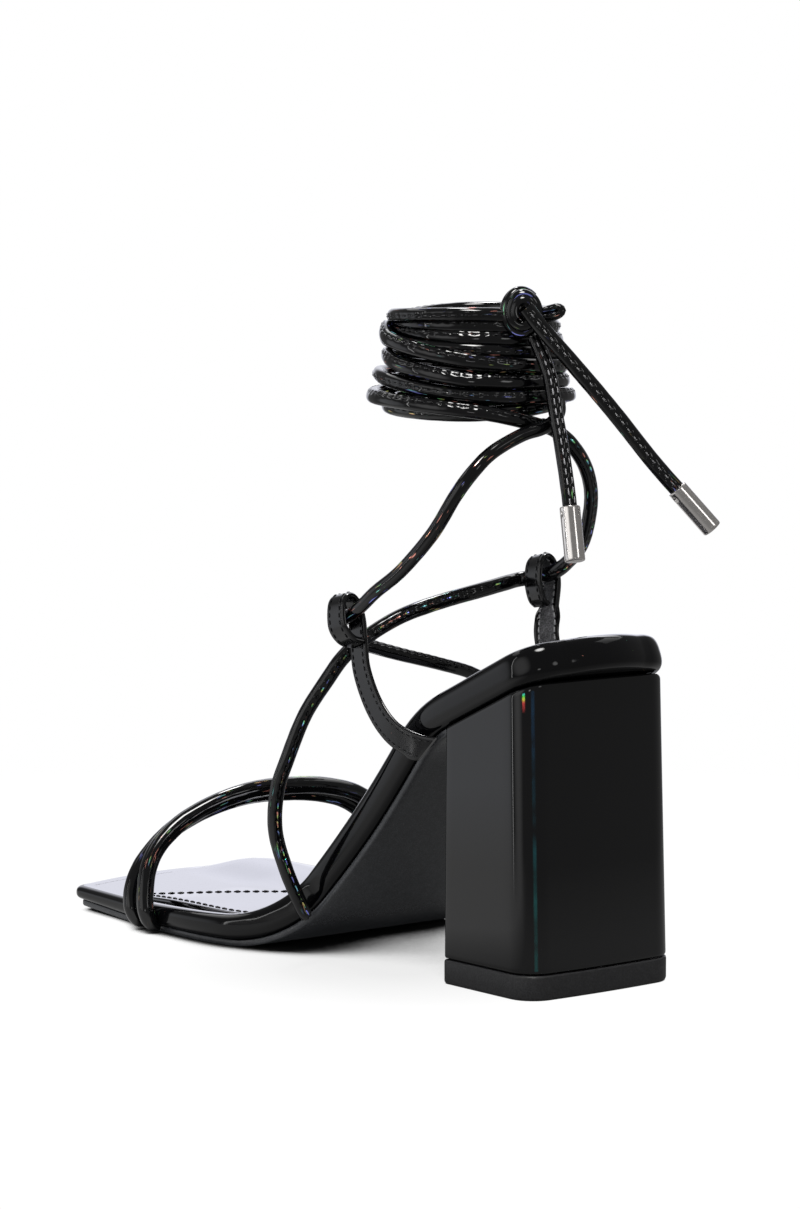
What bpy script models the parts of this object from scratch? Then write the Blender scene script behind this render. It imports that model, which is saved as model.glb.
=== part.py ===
"""Lace-up block heel sandal, right foot: a square-toed padded footbed on a tall block heel,
two toe straps, a pair of crossed laces led through two ankle loops, and the laces wound and tied at the ankle.

Millimetres in the tables, metres in the meshes. +Z is up, the toe points to -Y and +X is the inner (medial) side.
The origin is on the floor, under the middle of the sandal.
"""

import math
from collections import namedtuple

import bmesh
import bpy
from mathutils import Vector

MM = 0.001
GAP = 0.3  # clearance between neighbouring pieces

# Sizes of the last and of the pieces on it
TOE_CORNERS_Y = -107.0  # the two corners of the square toe
HEEL_BACK = 107.0  # the footbed's back corners
CENTRE_SHIFT = (-0.04, 2.47, 0.0)  # brings the middle of the whole sandal over the origin
HEEL_SEAT_HEIGHT = 93.2  # underside of the footbed at its back
HEEL_SEAT_ANGLE = 23.8
ARCH_ANGLE = 50.2
BREAST_Y = 56.1  # where the arch meets the heel seat
BALL_FILLET = 45.0
BREAST_FILLET = 43.0
TOE_SPRING_ANGLE = 2.4
TOE_SPRING_START = -70.0
TOE_SPRING_FILLET = 120.0
OUTSOLE_THICKNESS = 2.0
OUTSOLE_INSET = 2.2
TOE_CORNER = 5.5
HEEL_CORNER = 13.0
TOE_BOW = 6.0
HEEL_BOW = 2.5
STATION = 7.5  # spacing of the rows along the footbed, shared by every piece bent to the last
EDGE_ROLL = 4.2  # depth of the footbed's rounded edge
DISH_INSET = 6.4  # inside the edge the footbed is sunk, for the sock
DISH_DEPTH = 1.4

HEEL_MEDIAL = 25.7
HEEL_LATERAL = 30.0
HEEL_FRONT = 65.6
HEEL_FOOT_BACK = 105.0
HEEL_LEAN = 2.6  # how much further forward the back of the block is at its top
HEEL_WAIST = 0.6  # how much the block narrows on each side at its top
HEEL_ROUND = 8.5
HEEL_BREAST_ROUND = 1.5
LIFT_HEIGHT = 7.2
LIFT_PROUD = 0.3
LIFT_BEVEL = 0.6

SOCK_INSET = 7.8
SOCK_GAP = 0.4
SOCK_THICKNESS = 1.3
SOCK_START = 56.0  # middle of the sock's front edge, along the footbed
SOCK_SKEW = 0.48  # slant of that edge: the inner side lies further forward
SOCK_SKEW_FADE = 44.0
SOCK_END_CORNER = 10.0

TOE_CORD = 5.2
LACE = 3.9
CORD_SIDES = 2  # bevel resolution: eight sides
STRAP_WIDTH = 7.6
STRAP_THICKNESS = 1.6

WRAP_CENTRE = (-0.9, 45.8)
WRAP_TURNS = 7
WRAP_STEPS = 22  # straight pieces in a turn
WRAP_RADIUS_LOW = 28.2
WRAP_RADIUS_HIGH = 22.4
WRAP_Z_LOW = 165.6
WRAP_DIP = 4.5  # how much lower the lace comes in at the back
WRAP_DIP_TURN = 0.25
WRAP_PITCH = 4.22
WRAP_START_ANGLE = -6.0  # from the back of the ankle, positive to the inner side

KNOT_AT = (3.7, 74.1, 193.8)
KNOT_FACES = 38.6  # the way its turn faces, in degrees from straight back towards the inner side
KNOT_HALF_WIDTH = 4.0
KNOT_HALF_HEIGHT = 5.4
KNOT_STEPS = 28
TIP_DIAMETER = 6.0
TIP_LENGTH = 16.0
TIP_BORE = 4.6
TIP_SOCKET = 5.0
TIP_SIDES = 20

# The footbed's outline and thickness: half widths at distances along its underside from the toe
Section = namedtuple("Section", "along medial lateral thick")
FOOTBED = [
    Section(0, 41.6, 41.6, 4.2),
    Section(30, 43.0, 42.8, 5.3),
    Section(62, 45.0, 44.4, 6.7),
    Section(82, 43.4, 45.0, 7.4),
    Section(100, 38.4, 43.0, 8.4),
    Section(122, 31.6, 38.0, 9.4),
    Section(150, 26.8, 32.0, 10.0),
    Section(176, 25.6, 29.4, 10.0),
    Section(205, 26.4, 29.2, 10.0),
    Section(250, 26.4, 29.4, 10.4),
]

# Routes of the cords: points in space, with the cord's size there as a share of its full size
Stop = namedtuple("Stop", "x y z size")
TOE_STRAP_REAR = [
    Stop(43.7, -53.2, 1.5, 0.36),
    Stop(46.7, -53.6, 3.2, 0.80),
    Stop(47.9, -54.6, 7.6, 1),
    Stop(47.0, -56.0, 13.2, 1),
    Stop(44.6, -57.6, 20.0, 1),
    Stop(40.6, -58.6, 25.8, 1),
    Stop(34.6, -58.4, 31.2, 1),
    Stop(28.0, -57.2, 35.4, 1),
    Stop(18.0, -54.6, 39.8, 1),
    Stop(6.0, -52.0, 42.4, 1),
    Stop(-8.0, -50.4, 42.6, 1),
    Stop(-20.0, -49.2, 41.4, 1),
    Stop(-31.0, -48.2, 38.2, 1),
    Stop(-39.5, -47.8, 31.8, 1),
    Stop(-45.2, -47.6, 22.5, 1),
    Stop(-47.8, -47.4, 12.5, 1),
    Stop(-47.2, -47.0, 3.8, 0.80),
    Stop(-44.6, -46.8, 1.5, 0.36),
]
TOE_STRAP_FRONT = [
    Stop(43.4, -62.0, 1.5, 0.36),
    Stop(46.0, -62.2, 3.2, 0.80),
    Stop(47.1, -63.4, 7.4, 1),
    Stop(45.8, -64.9, 12.6, 1),
    Stop(42.6, -65.6, 18.6, 1),
    Stop(38.4, -65.3, 23.7, 1),
    Stop(33.0, -64.4, 28.7, 1),
    Stop(27.0, -62.8, 32.7, 1),
    Stop(17.4, -60.0, 37.0, 1),
    Stop(6.0, -57.4, 39.6, 1),
    Stop(-8.0, -55.8, 39.8, 1),
    Stop(-19.6, -54.6, 38.6, 1),
    Stop(-30.4, -53.8, 35.4, 1),
    Stop(-38.8, -53.6, 29.4, 1),
    Stop(-44.8, -53.8, 20.8, 1),
    Stop(-47.7, -54.2, 11.8, 1),
    Stop(-47.0, -54.6, 3.8, 0.80),
    Stop(-44.4, -54.6, 1.5, 0.36),
]
LACE_FROM_INNER_SIDE = [
    Stop(32.2, 9.6, 11.6, 0.5),
    Stop(35.4, 9.8, 16.0, 1),
    Stop(39.8, 8.0, 27.2, 1),
    Stop(42.0, 5.8, 39.2, 1),
    Stop(41.8, 6.6, 51.3, 1),
    Stop(40.0, 9.2, 60.8, 1),
    Stop(35.8, 12.4, 74.0, 1),
    Stop(30.7, 16.6, 84.5, 1),
    Stop(26.4, 19.4, 91.6, 1),
    Stop(20.6, 22.6, 97.2, 1),
    Stop(11.0, 26.6, 103.0, 1),
    Stop(0.0, 30.8, 107.0, 1),
    Stop(-13.0, 34.0, 110.0, 1),
    Stop(-23.6, 34.0, 111.8, 1),
    Stop(-29.4, 33.6, 112.6, 1),
    Stop(-32.8, 37.6, 113.6, 1),
    Stop(-32.9, 44.2, 114.8, 1),
    Stop(-33.8, 50.8, 118.4, 1),
    Stop(-33.0, 59.2, 125.4, 1),
    Stop(-27.6, 68.8, 138.0, 1),
    Stop(-20.6, 74.6, 147.8, 1),
    Stop(-13.4, 76.2, 155.4, 1),
    Stop(-8.1, 74.3, 159.9, 1),
    Stop(-4.22, 73.86, 161.02, 1),
]
LACE_FROM_OUTER_SIDE = [
    Stop(-38.4, 9.6, 11.6, 0.5),
    Stop(-41.4, 9.8, 16.0, 1),
    Stop(-44.8, 8.2, 27.2, 1),
    Stop(-46.4, 6.6, 39.0, 1),
    Stop(-45.6, 7.6, 50.6, 1),
    Stop(-42.6, 10.6, 61.0, 1),
    Stop(-37.6, 14.4, 71.6, 1),
    Stop(-31.0, 17.8, 79.2, 1),
    Stop(-22.0, 19.8, 83.6, 1),
    Stop(-10.0, 20.0, 87.0, 1),
    Stop(6.0, 19.8, 91.0, 1),
    Stop(20.0, 19.4, 95.0, 1),
    Stop(27.0, 19.8, 98.4, 1),
    Stop(32.0, 22.4, 101.4, 1),
    Stop(33.3, 28.8, 104.0, 1),
    Stop(33.6, 36.4, 107.8, 1),
    Stop(33.4, 43.6, 112.8, 1),
    Stop(31.6, 53.4, 119.6, 1),
    Stop(29.2, 64.4, 130.4, 1),
    Stop(26.4, 71.6, 141.8, 1),
    Stop(22.0, 74.2, 148.6, 1),
    Stop(15.0, 74.6, 154.0, 1),
    Stop(5.8, 75.2, 158.4, 1),
]
LACE_END_SHORT = [
    Stop(1.2, 76.2, 186.7, 1),
    Stop(0.2, 78.1, 182.4, 1),
    Stop(-0.9, 80.8, 175.0, 1),
    Stop(-1.8, 82.4, 165.0, 1),
    Stop(-2.3, 84.8, 154.0, 1),
    Stop(-2.8, 87.0, 143.0, 1),
    Stop(-3.1, 87.9, 133.6, 1),
]
LACE_END_LONG = [
    Stop(5.8, 78.2, 195.0, 1),
    Stop(1.8, 81.4, 188.4, 1),
    Stop(-6.6, 86.0, 177.8, 1),
    Stop(-17.2, 91.4, 164.1, 1),
    Stop(-26.6, 96.2, 151.2, 1),
    Stop(-35.2, 102.0, 139.6, 1),
]

# Routes of the two ankle straps, folded over into a loop and sewn down: points along the strap's middle
STRAP_INNER_SIDE = [
    (25.6, 61.8, 67.6),
    (27.9, 55.2, 68.4),
    (29.8, 47.0, 71.6),
    (30.6, 39.6, 78.4),
    (30.8, 33.8, 88.4),
    (29.8, 31.0, 97.2),
    (29.5, 29.5, 103.8),
    (30.9, 28.5, 108.8),
    (33.4, 28.2, 110.5),
    (35.9, 28.5, 108.8),
    (37.1, 29.7, 103.6),
    (36.0, 31.7, 97.4),
    (33.8, 33.6, 92.6),
    (33.0, 35.2, 88.9),
]
STRAP_OUTER_SIDE = [
    (-28.6, 62.0, 68.4),
    (-31.0, 55.6, 71.6),
    (-32.4, 49.6, 79.6),
    (-33.0, 45.8, 89.0),
    (-33.2, 44.2, 97.0),
    (-35.8, 42.8, 105.4),
    (-36.9, 41.8, 112.6),
    (-35.6, 41.0, 118.4),
    (-33.1, 40.7, 120.2),
    (-30.5, 41.0, 118.2),
    (-29.3, 41.8, 112.4),
    (-29.6, 42.8, 107.0),
    (-30.8, 43.5, 102.6),
    (-31.0, 44.0, 100.4),
]
STRAP_LOOP_FROM = 5  # the row of those tables where the loop begins


# Interpolation and the line of the last

def smooth(table, column, at):
    """A named column of a table, read smoothly between its rows."""
    xs = [row[0] for row in table]
    ys = [getattr(row, column) for row in table]
    at = min(max(at, xs[0]), xs[-1])
    i = max(k for k in range(len(xs) - 1) if xs[k] <= at)

    def slope(k):
        low, high = max(k - 1, 0), min(k + 1, len(xs) - 1)
        return (ys[high] - ys[low]) / (xs[high] - xs[low])

    span = xs[i + 1] - xs[i]
    t = (at - xs[i]) / span
    return (
        (2 * t**3 - 3 * t**2 + 1) * ys[i]
        + (t**3 - 2 * t**2 + t) * span * slope(i)
        + (3 * t**2 - 2 * t**3) * ys[i + 1]
        + (t**3 - t**2) * span * slope(i + 1)
    )


Stretch = namedtuple("Stretch", "start length y z pitch turn")


def last_line():
    """The footbed's underside from toe to heel, as straight stretches and arcs: toe spring, tread, arch, heel seat."""
    tread = OUTSOLE_THICKNESS + GAP
    seat = math.tan(math.radians(HEEL_SEAT_ANGLE))
    breast_z = HEEL_SEAT_HEIGHT - seat * (HEEL_BACK - BREAST_Y)
    ball_y = BREAST_Y - (breast_z - tread) / math.tan(math.radians(ARCH_ANGLE))
    spring = math.tan(math.radians(TOE_SPRING_ANGLE))
    toe_z = tread + spring * (TOE_SPRING_START - TOE_CORNERS_Y)
    corners = [
        (Vector((TOE_CORNERS_Y, toe_z)), 0.0),
        (Vector((TOE_SPRING_START, tread)), TOE_SPRING_FILLET),
        (Vector((ball_y, tread)), BALL_FILLET),
        (Vector((BREAST_Y, breast_z)), BREAST_FILLET),
        (Vector((HEEL_BACK, HEEL_SEAT_HEIGHT)), 0.0),
    ]
    stretches, start, here = [], 0.0, corners[0][0]
    for k in range(1, len(corners)):
        corner, radius = corners[k]
        way = (corner - here).normalized()
        pitch = math.atan2(way.y, way.x)
        turn = 0.0
        if radius:
            after = (corners[k + 1][0] - corner).normalized()
            turn = math.atan2(after.y, after.x) - pitch
        tangent = radius * math.tan(abs(turn) / 2)
        straight = (corner - here).length - tangent
        stretches.append(Stretch(start, straight, here.x, here.y, pitch, 0.0))
        start += straight
        if radius:
            bend = here + way * straight
            arc = radius * abs(turn)
            stretches.append(Stretch(start, arc, bend.x, bend.y, pitch, turn / arc))
            start += arc
            here = corner + after * tangent
    return stretches, start


LAST, FOOTBED_LENGTH = last_line()


def on_last(along):
    """(y, z, pitch) of the footbed's underside at a distance from the toe."""
    piece = LAST[0]
    for stretch in LAST:
        if along >= stretch.start:
            piece = stretch
    run = along - piece.start
    if piece.turn:
        radius = 1 / piece.turn
        pitch = piece.pitch + run * piece.turn
        y = piece.y + radius * (math.sin(pitch) - math.sin(piece.pitch))
        z = piece.z - radius * (math.cos(pitch) - math.cos(piece.pitch))
        return y, z, pitch
    return piece.y + run * math.cos(piece.pitch), piece.z + run * math.sin(piece.pitch), piece.pitch


def bent(along, x, height):
    """A point of the flat blank, bent to the last: height is measured square to the footbed's underside."""
    y, z, pitch = on_last(along)
    return Vector((x, y - math.sin(pitch) * height, z + math.cos(pitch) * height)) * MM


def along_at(y):
    """Distance along the last where its line passes over y."""
    low, high = 0.0, FOOTBED_LENGTH
    for _ in range(40):
        middle = (low + high) / 2
        if on_last(middle)[0] < y:
            low = middle
        else:
            high = middle
    return low


# Objects and materials

SANDAL = None
MATERIALS = {}


def clear_scene():
    for old in list(bpy.data.objects):
        bpy.data.objects.remove(old)


def material(name, colour, roughness, metallic=0.0):
    made = bpy.data.materials.new(name)
    made.use_nodes = True
    shader = made.node_tree.nodes["Principled BSDF"]
    shader.inputs["Base Color"].default_value = (*colour, 1)
    shader.inputs["Roughness"].default_value = roughness
    shader.inputs["Metallic"].default_value = metallic
    MATERIALS[name] = made


def make_materials():
    material("black_patent", (0.012, 0.012, 0.014), 0.12)
    material("black_sock", (0.014, 0.014, 0.017), 0.18)
    material("black_rubber", (0.02, 0.02, 0.021), 0.55)
    material("polished_nickel", (0.72, 0.70, 0.68), 0.2, 1.0)


def add_object(name, data, finish):
    made = bpy.data.objects.new(name, data)
    bpy.context.scene.collection.objects.link(made)
    made.parent = SANDAL
    data.materials.append(MATERIALS[finish])
    return made


def mesh_object(name, bm, finish, sharp_angle=40):
    bmesh.ops.recalc_face_normals(bm, faces=bm.faces)
    mesh = bpy.data.meshes.new(name)
    bm.to_mesh(mesh)
    bm.free()
    mesh.shade_smooth()
    mesh.set_sharp_from_angle(angle=math.radians(sharp_angle))
    return add_object(name, mesh, finish)


def bridge(bm, lower, upper):
    """Quads between two closed rings of the same count."""
    for k in range(len(lower)):
        nxt = (k + 1) % len(lower)
        bm.faces.new((lower[k], lower[nxt], upper[nxt], upper[k]))


# Plates cut to an outline: footbed, outsole, sock, heel and top lift all have a left and a right row of points

def corner_cut(distance, radius):
    """How far a round corner takes the side in, at a distance from the end."""
    if distance >= radius:
        return 0.0
    return radius - math.sqrt(max(radius**2 - (radius - distance) ** 2, 0.0))


def stations(start, end, first_corner, last_corner, spacing, corner_count=5):
    """Distances from end to end: close together round the two corners, on a common grid between them."""
    turns = [math.radians(90 * k / corner_count) for k in range(corner_count + 1)]
    first = [start + first_corner * (1 - math.cos(t)) for t in turns] if first_corner else [start]
    last = [end - last_corner * (1 - math.cos(t)) for t in reversed(turns)] if last_corner else [end]
    grid = [k * spacing for k in range(int(end / spacing) + 1)]
    room = spacing / 4
    return first + [at for at in grid if first[-1] + room < at < last[0] - room] + last


def loop_of(left, right, front_bow, back_bow, end_points=6):
    """One closed outline from the left and right rows, with its two ends bowed outwards."""

    def end(a, b, bow):
        points = []
        for k in range(1, end_points + 1):
            t = k / (end_points + 1)
            points.append((a[0] + (b[0] - a[0]) * t + bow * 4 * t * (1 - t), a[1] + (b[1] - a[1]) * t))
        return points

    return left + end(left[-1], right[-1], back_bow) + right[::-1] + end(right[0], left[0], -front_bow)


def inset_loop(loop, depth):
    """The outline moved inwards."""
    made = []
    for k, (a, b) in enumerate(loop):
        before, after = Vector(loop[k - 1]), Vector(loop[(k + 1) % len(loop)])
        side = (after - before).normalized()
        made.append((a + side.y * depth, b - side.x * depth))
    return made


def plate(name, left, right, bows, levels, place, finish):
    """A closed plate: rings of the outline at each level, and caps made of strips from side to side."""
    loop = loop_of(left, right, *bows)
    bm = bmesh.new()
    rings = []
    for depth, height in levels:
        shape = inset_loop(loop, depth) if depth else loop
        rings.append([bm.verts.new(place(a, b, height)) for a, b in shape])
    for lower, upper in zip(rings, rings[1:]):
        bridge(bm, lower, upper)
    rows, total = len(left), len(loop)
    ends = (total - 2 * rows) // 2
    for ring in (rings[0], rings[-1]):
        left_side = ring[:rows]
        right_side = ring[rows + ends : 2 * rows + ends][::-1]
        for k in range(rows - 1):
            bm.faces.new((left_side[k], left_side[k + 1], right_side[k + 1], right_side[k]))
        bm.faces.new(ring[rows - 1 : rows + ends + 1])
        bm.faces.new(ring[2 * rows + ends - 1 :] + [ring[0]])
    return mesh_object(name, bm, finish)


def footbed_top(along):
    return smooth(FOOTBED, "thick", along)


def sides_of(rows, inset, cut):
    """Left and right rows of the footbed's outline, taken in by an inset and by a cut at each row."""
    left = [(along, smooth(FOOTBED, "medial", along) - inset - cut(along)) for along in rows]
    right = [(along, -(smooth(FOOTBED, "lateral", along) - inset - cut(along))) for along in rows]
    return left, right


def make_footbed():
    """Padded footbed, wrapped round its edge into a soft roll."""

    def cut(along):
        return corner_cut(along, TOE_CORNER) + corner_cut(FOOTBED_LENGTH - along, HEEL_CORNER)

    rows = stations(0, FOOTBED_LENGTH, TOE_CORNER, HEEL_CORNER, STATION)
    left, right = sides_of(rows, 0.0, cut)
    levels = []
    for turn in (-90, -55, -20, 20, 55, 90):
        angle = math.radians(turn)
        levels.append((EDGE_ROLL * (1 - math.cos(angle)), ((1 + math.sin(angle)) / 2, 0.0)))
    levels.append((DISH_INSET, (1.0, DISH_DEPTH)))

    def place(along, x, level):
        share, sunk = level
        return bent(along, x, share * footbed_top(along) - sunk)

    plate("footbed", left, right, (TOE_BOW, HEEL_BOW), levels, place, "black_patent")


def make_outsole():
    """Thin outsole under the tread and arch, up to the heel's front face."""
    inset = OUTSOLE_INSET
    corner = TOE_CORNER - inset

    def cut(along):
        return corner_cut(along - inset, corner)

    pitch = on_last(along_at(HEEL_FRONT))[2]
    end = along_at(HEEL_FRONT - GAP - (OUTSOLE_THICKNESS + GAP) * math.sin(pitch))
    left, right = sides_of(stations(inset, end, corner, 0.0, STATION), inset, cut)
    low = -GAP - OUTSOLE_THICKNESS
    levels = [(0.5, low), (0.0, low + 0.5), (0.0, -GAP)]
    plate("outsole", left, right, (TOE_BOW, 0.0), levels, bent, "black_rubber")


def make_sock():
    """Insole sock on the footbed, from a slanted edge behind the toes to the heel."""
    end = FOOTBED_LENGTH - SOCK_INSET

    def cut(along):
        return corner_cut(along - SOCK_START, 2.0) + corner_cut(end - along, SOCK_END_CORNER)

    def slanted(point):
        along, x = point
        fade = max(0.0, 1 - (along - SOCK_START) / SOCK_SKEW_FADE) ** 2
        return along - SOCK_SKEW * x * fade, x

    left, right = sides_of(stations(SOCK_START, end, 2.0, SOCK_END_CORNER, STATION), SOCK_INSET, cut)
    levels = [(0.0, 0.0), (0.0, 0.6), (0.4, 1.0)]

    def place(along, x, share):
        return bent(along, x, footbed_top(along) - DISH_DEPTH + SOCK_GAP + share * SOCK_THICKNESS)

    left = [slanted(point) for point in left]
    right = [slanted(point) for point in right]
    plate("insole_sock", left, right, (0.0, 1.5), levels, place, "black_sock")


# Heel

def heel_sides(proud):
    """Left and right rows of the heel's plan, from its front to its back."""
    front, back = HEEL_FRONT - proud, HEEL_FOOT_BACK + proud

    def cut(y):
        return corner_cut(y - front, HEEL_BREAST_ROUND) + corner_cut(back - y, HEEL_ROUND)

    rows = stations(front, back, HEEL_BREAST_ROUND, HEEL_ROUND, STATION)
    left = [(y, HEEL_MEDIAL + proud - cut(y)) for y in rows]
    right = [(y, -(HEEL_LATERAL + proud - cut(y))) for y in rows]
    return left, right


def make_heel():
    """Wrapped block heel, with its top shaped to the heel seat."""
    left, right = heel_sides(0.0)
    depth = HEEL_FOOT_BACK - HEEL_FRONT
    narrowing = 1 - HEEL_WAIST * 2 / (HEEL_MEDIAL + HEEL_LATERAL)

    def place(y, x, share):
        top_y = y - HEEL_LEAN * (y - HEEL_FRONT) / depth
        _, seat_z, pitch = on_last(along_at(top_y))
        foot = Vector((x, y, LIFT_HEIGHT + GAP))
        top = Vector((x * narrowing, top_y, seat_z - GAP / math.cos(pitch)))
        return foot.lerp(top, share) * MM

    levels = [(0.5, 0.0), (0.0, 0.006), (0.0, 0.5), (0.0, 1.0)]
    plate("heel_block", left, right, (0.0, 0.6), levels, place, "black_patent")


def make_top_lift():
    """Rubber top lift under the heel."""
    left, right = heel_sides(LIFT_PROUD)

    def place(y, x, height):
        return Vector((x, y, height)) * MM

    levels = [(LIFT_BEVEL, 0.0), (0.0, LIFT_BEVEL), (0.0, LIFT_HEIGHT)]
    plate("heel_top_lift", left, right, (0.0, 0.6), levels, place, "black_rubber")


# Cords

def curve_through(points, count):
    """Points on a smooth curve through a route, count to each of its spans."""
    made = []
    last = len(points) - 1
    for k in range(last):
        p0, p1 = points[max(k - 1, 0)], points[k]
        p2, p3 = points[k + 1], points[min(k + 2, last)]
        for j in range(count):
            t = j / count
            made.append(
                0.5
                * (
                    2 * p1
                    + (p2 - p0) * t
                    + (2 * p0 - 5 * p1 + 4 * p2 - p3) * t**2
                    + (3 * p1 - p0 - 3 * p2 + p3) * t**3
                )
            )
    return made + [points[-1]]


def cord_curve(name, path, diameter, finish, sizes=None, closed=False):
    """A round cord on a path, as a bevelled curve with filled ends."""
    data = bpy.data.curves.new(name, "CURVE")
    data.dimensions = "3D"
    data.bevel_depth = diameter / 2 * MM
    data.bevel_resolution = CORD_SIDES
    data.use_fill_caps = not closed
    spline = data.splines.new("POLY")
    spline.points.add(len(path) - 1)
    spline.use_cyclic_u = closed
    for k, point in enumerate(path):
        spline.points[k].co = (*(point * MM), 1)
        spline.points[k].radius = sizes[k] if sizes else 1.0
    return add_object(name, data, finish)


def make_route(name, stops, diameter, steps=2):
    route = [Vector((stop.x, stop.y, stop.z, stop.size)) for stop in stops]
    path = curve_through(route, steps)
    sizes = [min(p.w, 1.0) for p in path]
    return cord_curve(name, [p.xyz for p in path], diameter, "black_patent", sizes)


def as_mesh(cord):
    """The cord as a closed mesh, for joining to another."""
    name, data = cord.name, cord.data
    graph = bpy.context.evaluated_depsgraph_get()
    mesh = bpy.data.meshes.new_from_object(cord.evaluated_get(graph))
    bpy.data.objects.remove(cord)
    bpy.data.curves.remove(data)
    bm = bmesh.new()
    bm.from_mesh(mesh)
    bmesh.ops.remove_doubles(bm, verts=bm.verts, dist=0.00001)
    bm.to_mesh(mesh)
    bm.free()
    made = bpy.data.objects.new(name, mesh)
    bpy.context.scene.collection.objects.link(made)
    made.parent = SANDAL
    return made


def make_vamp_laces():
    """The two laces from the sole to the ankle, joined where they cross on the instep."""
    laces = as_mesh(make_route("vamp_laces", LACE_FROM_INNER_SIDE, LACE))
    other = as_mesh(make_route("lace_from_outer_side", LACE_FROM_OUTER_SIDE, LACE))
    other.hide_render = True
    other.display_type = "WIRE"
    join = laces.modifiers.new("crossing", "BOOLEAN")
    join.operation = "UNION"
    join.object = other


def make_ankle_wrap():
    """The turns of lace round the ankle, narrowing upwards."""
    path = []
    count = WRAP_TURNS * WRAP_STEPS
    for k in range(count + 1):
        share = k / count
        angle = math.radians(WRAP_START_ANGLE) + 2 * math.pi * WRAP_TURNS * share
        radius = WRAP_RADIUS_LOW + (WRAP_RADIUS_HIGH - WRAP_RADIUS_LOW) * share
        x = WRAP_CENTRE[0] + radius * math.sin(angle)
        y = WRAP_CENTRE[1] + radius * math.cos(angle)
        dip = max(0.0, 1 - WRAP_TURNS * share / WRAP_DIP_TURN) ** 2 * WRAP_DIP
        path.append(Vector((x, y, WRAP_Z_LOW + WRAP_PITCH * WRAP_TURNS * share - dip)))
    cord_curve("ankle_wrap", path, LACE, "black_patent")


def make_knot():
    """The knot's outer turn at the back of the ankle, as a closed oval loop that the ends come out of."""
    facing = math.radians(KNOT_FACES)
    across = Vector((-math.cos(facing), math.sin(facing), 0)) * KNOT_HALF_WIDTH
    upwards = Vector((0, 0, KNOT_HALF_HEIGHT))
    path = []
    for k in range(KNOT_STEPS):
        turn = 2 * math.pi * k / KNOT_STEPS
        path.append(Vector(KNOT_AT) + across * math.cos(turn) + upwards * math.sin(turn))
    cord_curve("lace_knot", path, LACE, "black_patent", closed=True)


def make_tip(name, stops):
    """Metal tip on a lace's end: a thimble with its mouth towards the cord."""
    end = Vector(stops[-1][:3])
    way = (end - Vector(stops[-2][:3])).normalized()
    outer, bore = TIP_DIAMETER / 2, TIP_BORE / 2
    profile = [(bore, TIP_SOCKET), (bore, 0), (outer - 0.4, 0), (outer, 0.4)]
    profile += [(outer, TIP_LENGTH - 0.5), (outer - 0.5, TIP_LENGTH)]
    bm = bmesh.new()
    rings = []
    for radius, depth in profile:
        ring = []
        for k in range(TIP_SIDES):
            angle = 2 * math.pi * k / TIP_SIDES
            ring.append(bm.verts.new(Vector((radius * math.cos(angle), radius * math.sin(angle), depth)) * MM))
        rings.append(ring)
    for lower, upper in zip(rings, rings[1:]):
        bridge(bm, lower, upper)
    bm.faces.new(rings[0])
    bm.faces.new(rings[-1])
    tip = mesh_object(name, bm, "polished_nickel")
    tip.rotation_mode = "QUATERNION"
    tip.rotation_quaternion = way.to_track_quat("Z", "Y")
    tip.location = (end - way * (TIP_SOCKET - GAP)) * MM


# Ankle straps with a sewn loop

def make_strap(name, points, steps=3):
    """A flat strap along its route; from the loop on, its width keeps to the loop's own axis."""
    path = curve_through([Vector(p) for p in points], steps)
    half, thin = STRAP_WIDTH / 2, STRAP_THICKNESS / 2
    edge = 0.45 * thin
    section = [
        (half, -thin + edge), (half, thin - edge), (half - edge, thin), (-half + edge, thin),
        (-half, thin - edge), (-half, -thin + edge), (-half + edge, -thin), (half - edge, -thin),
    ]
    bm = bmesh.new()
    rings, across = [], None
    for k, point in enumerate(path):
        way = (path[min(k + 1, len(path) - 1)] - path[max(k - 1, 0)]).normalized()
        if k <= STRAP_LOOP_FROM * steps:
            across = way.cross(Vector((1, 0, 0)))
        across = (across - way * across.dot(way)).normalized()
        out = across.cross(way)
        rings.append([bm.verts.new((point + across * a + out * b) * MM) for a, b in section])
    for lower, upper in zip(rings, rings[1:]):
        bridge(bm, lower, upper)
    bm.faces.new(rings[0])
    bm.faces.new(rings[-1])
    mesh_object(name, bm, "black_patent")


def main():
    global SANDAL
    clear_scene()
    SANDAL = bpy.data.objects.new("sandal", None)
    SANDAL.location = Vector(CENTRE_SHIFT) * MM
    bpy.context.scene.collection.objects.link(SANDAL)
    make_materials()
    make_footbed()
    make_outsole()
    make_sock()
    make_heel()
    make_top_lift()
    make_route("toe_strap_front", TOE_STRAP_FRONT, TOE_CORD)
    make_route("toe_strap_rear", TOE_STRAP_REAR, TOE_CORD)
    make_vamp_laces()
    make_strap("ankle_strap_inner", STRAP_INNER_SIDE)
    make_strap("ankle_strap_outer", STRAP_OUTER_SIDE)
    make_ankle_wrap()
    make_knot()
    make_route("lace_end_short", LACE_END_SHORT, LACE)
    make_route("lace_end_long", LACE_END_LONG, LACE)
    make_tip("lace_tip_short", LACE_END_SHORT)
    make_tip("lace_tip_long", LACE_END_LONG)


main()
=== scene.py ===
"""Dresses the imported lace-up sandal in its finished pieces.

Tables are in millimetres, in the same frame as the part's own tables.
+Z is up, the toe points to -Y, +X is the inner side.
"""

import math
from collections import namedtuple

import bmesh
import bpy
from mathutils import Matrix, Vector, noise


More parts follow.
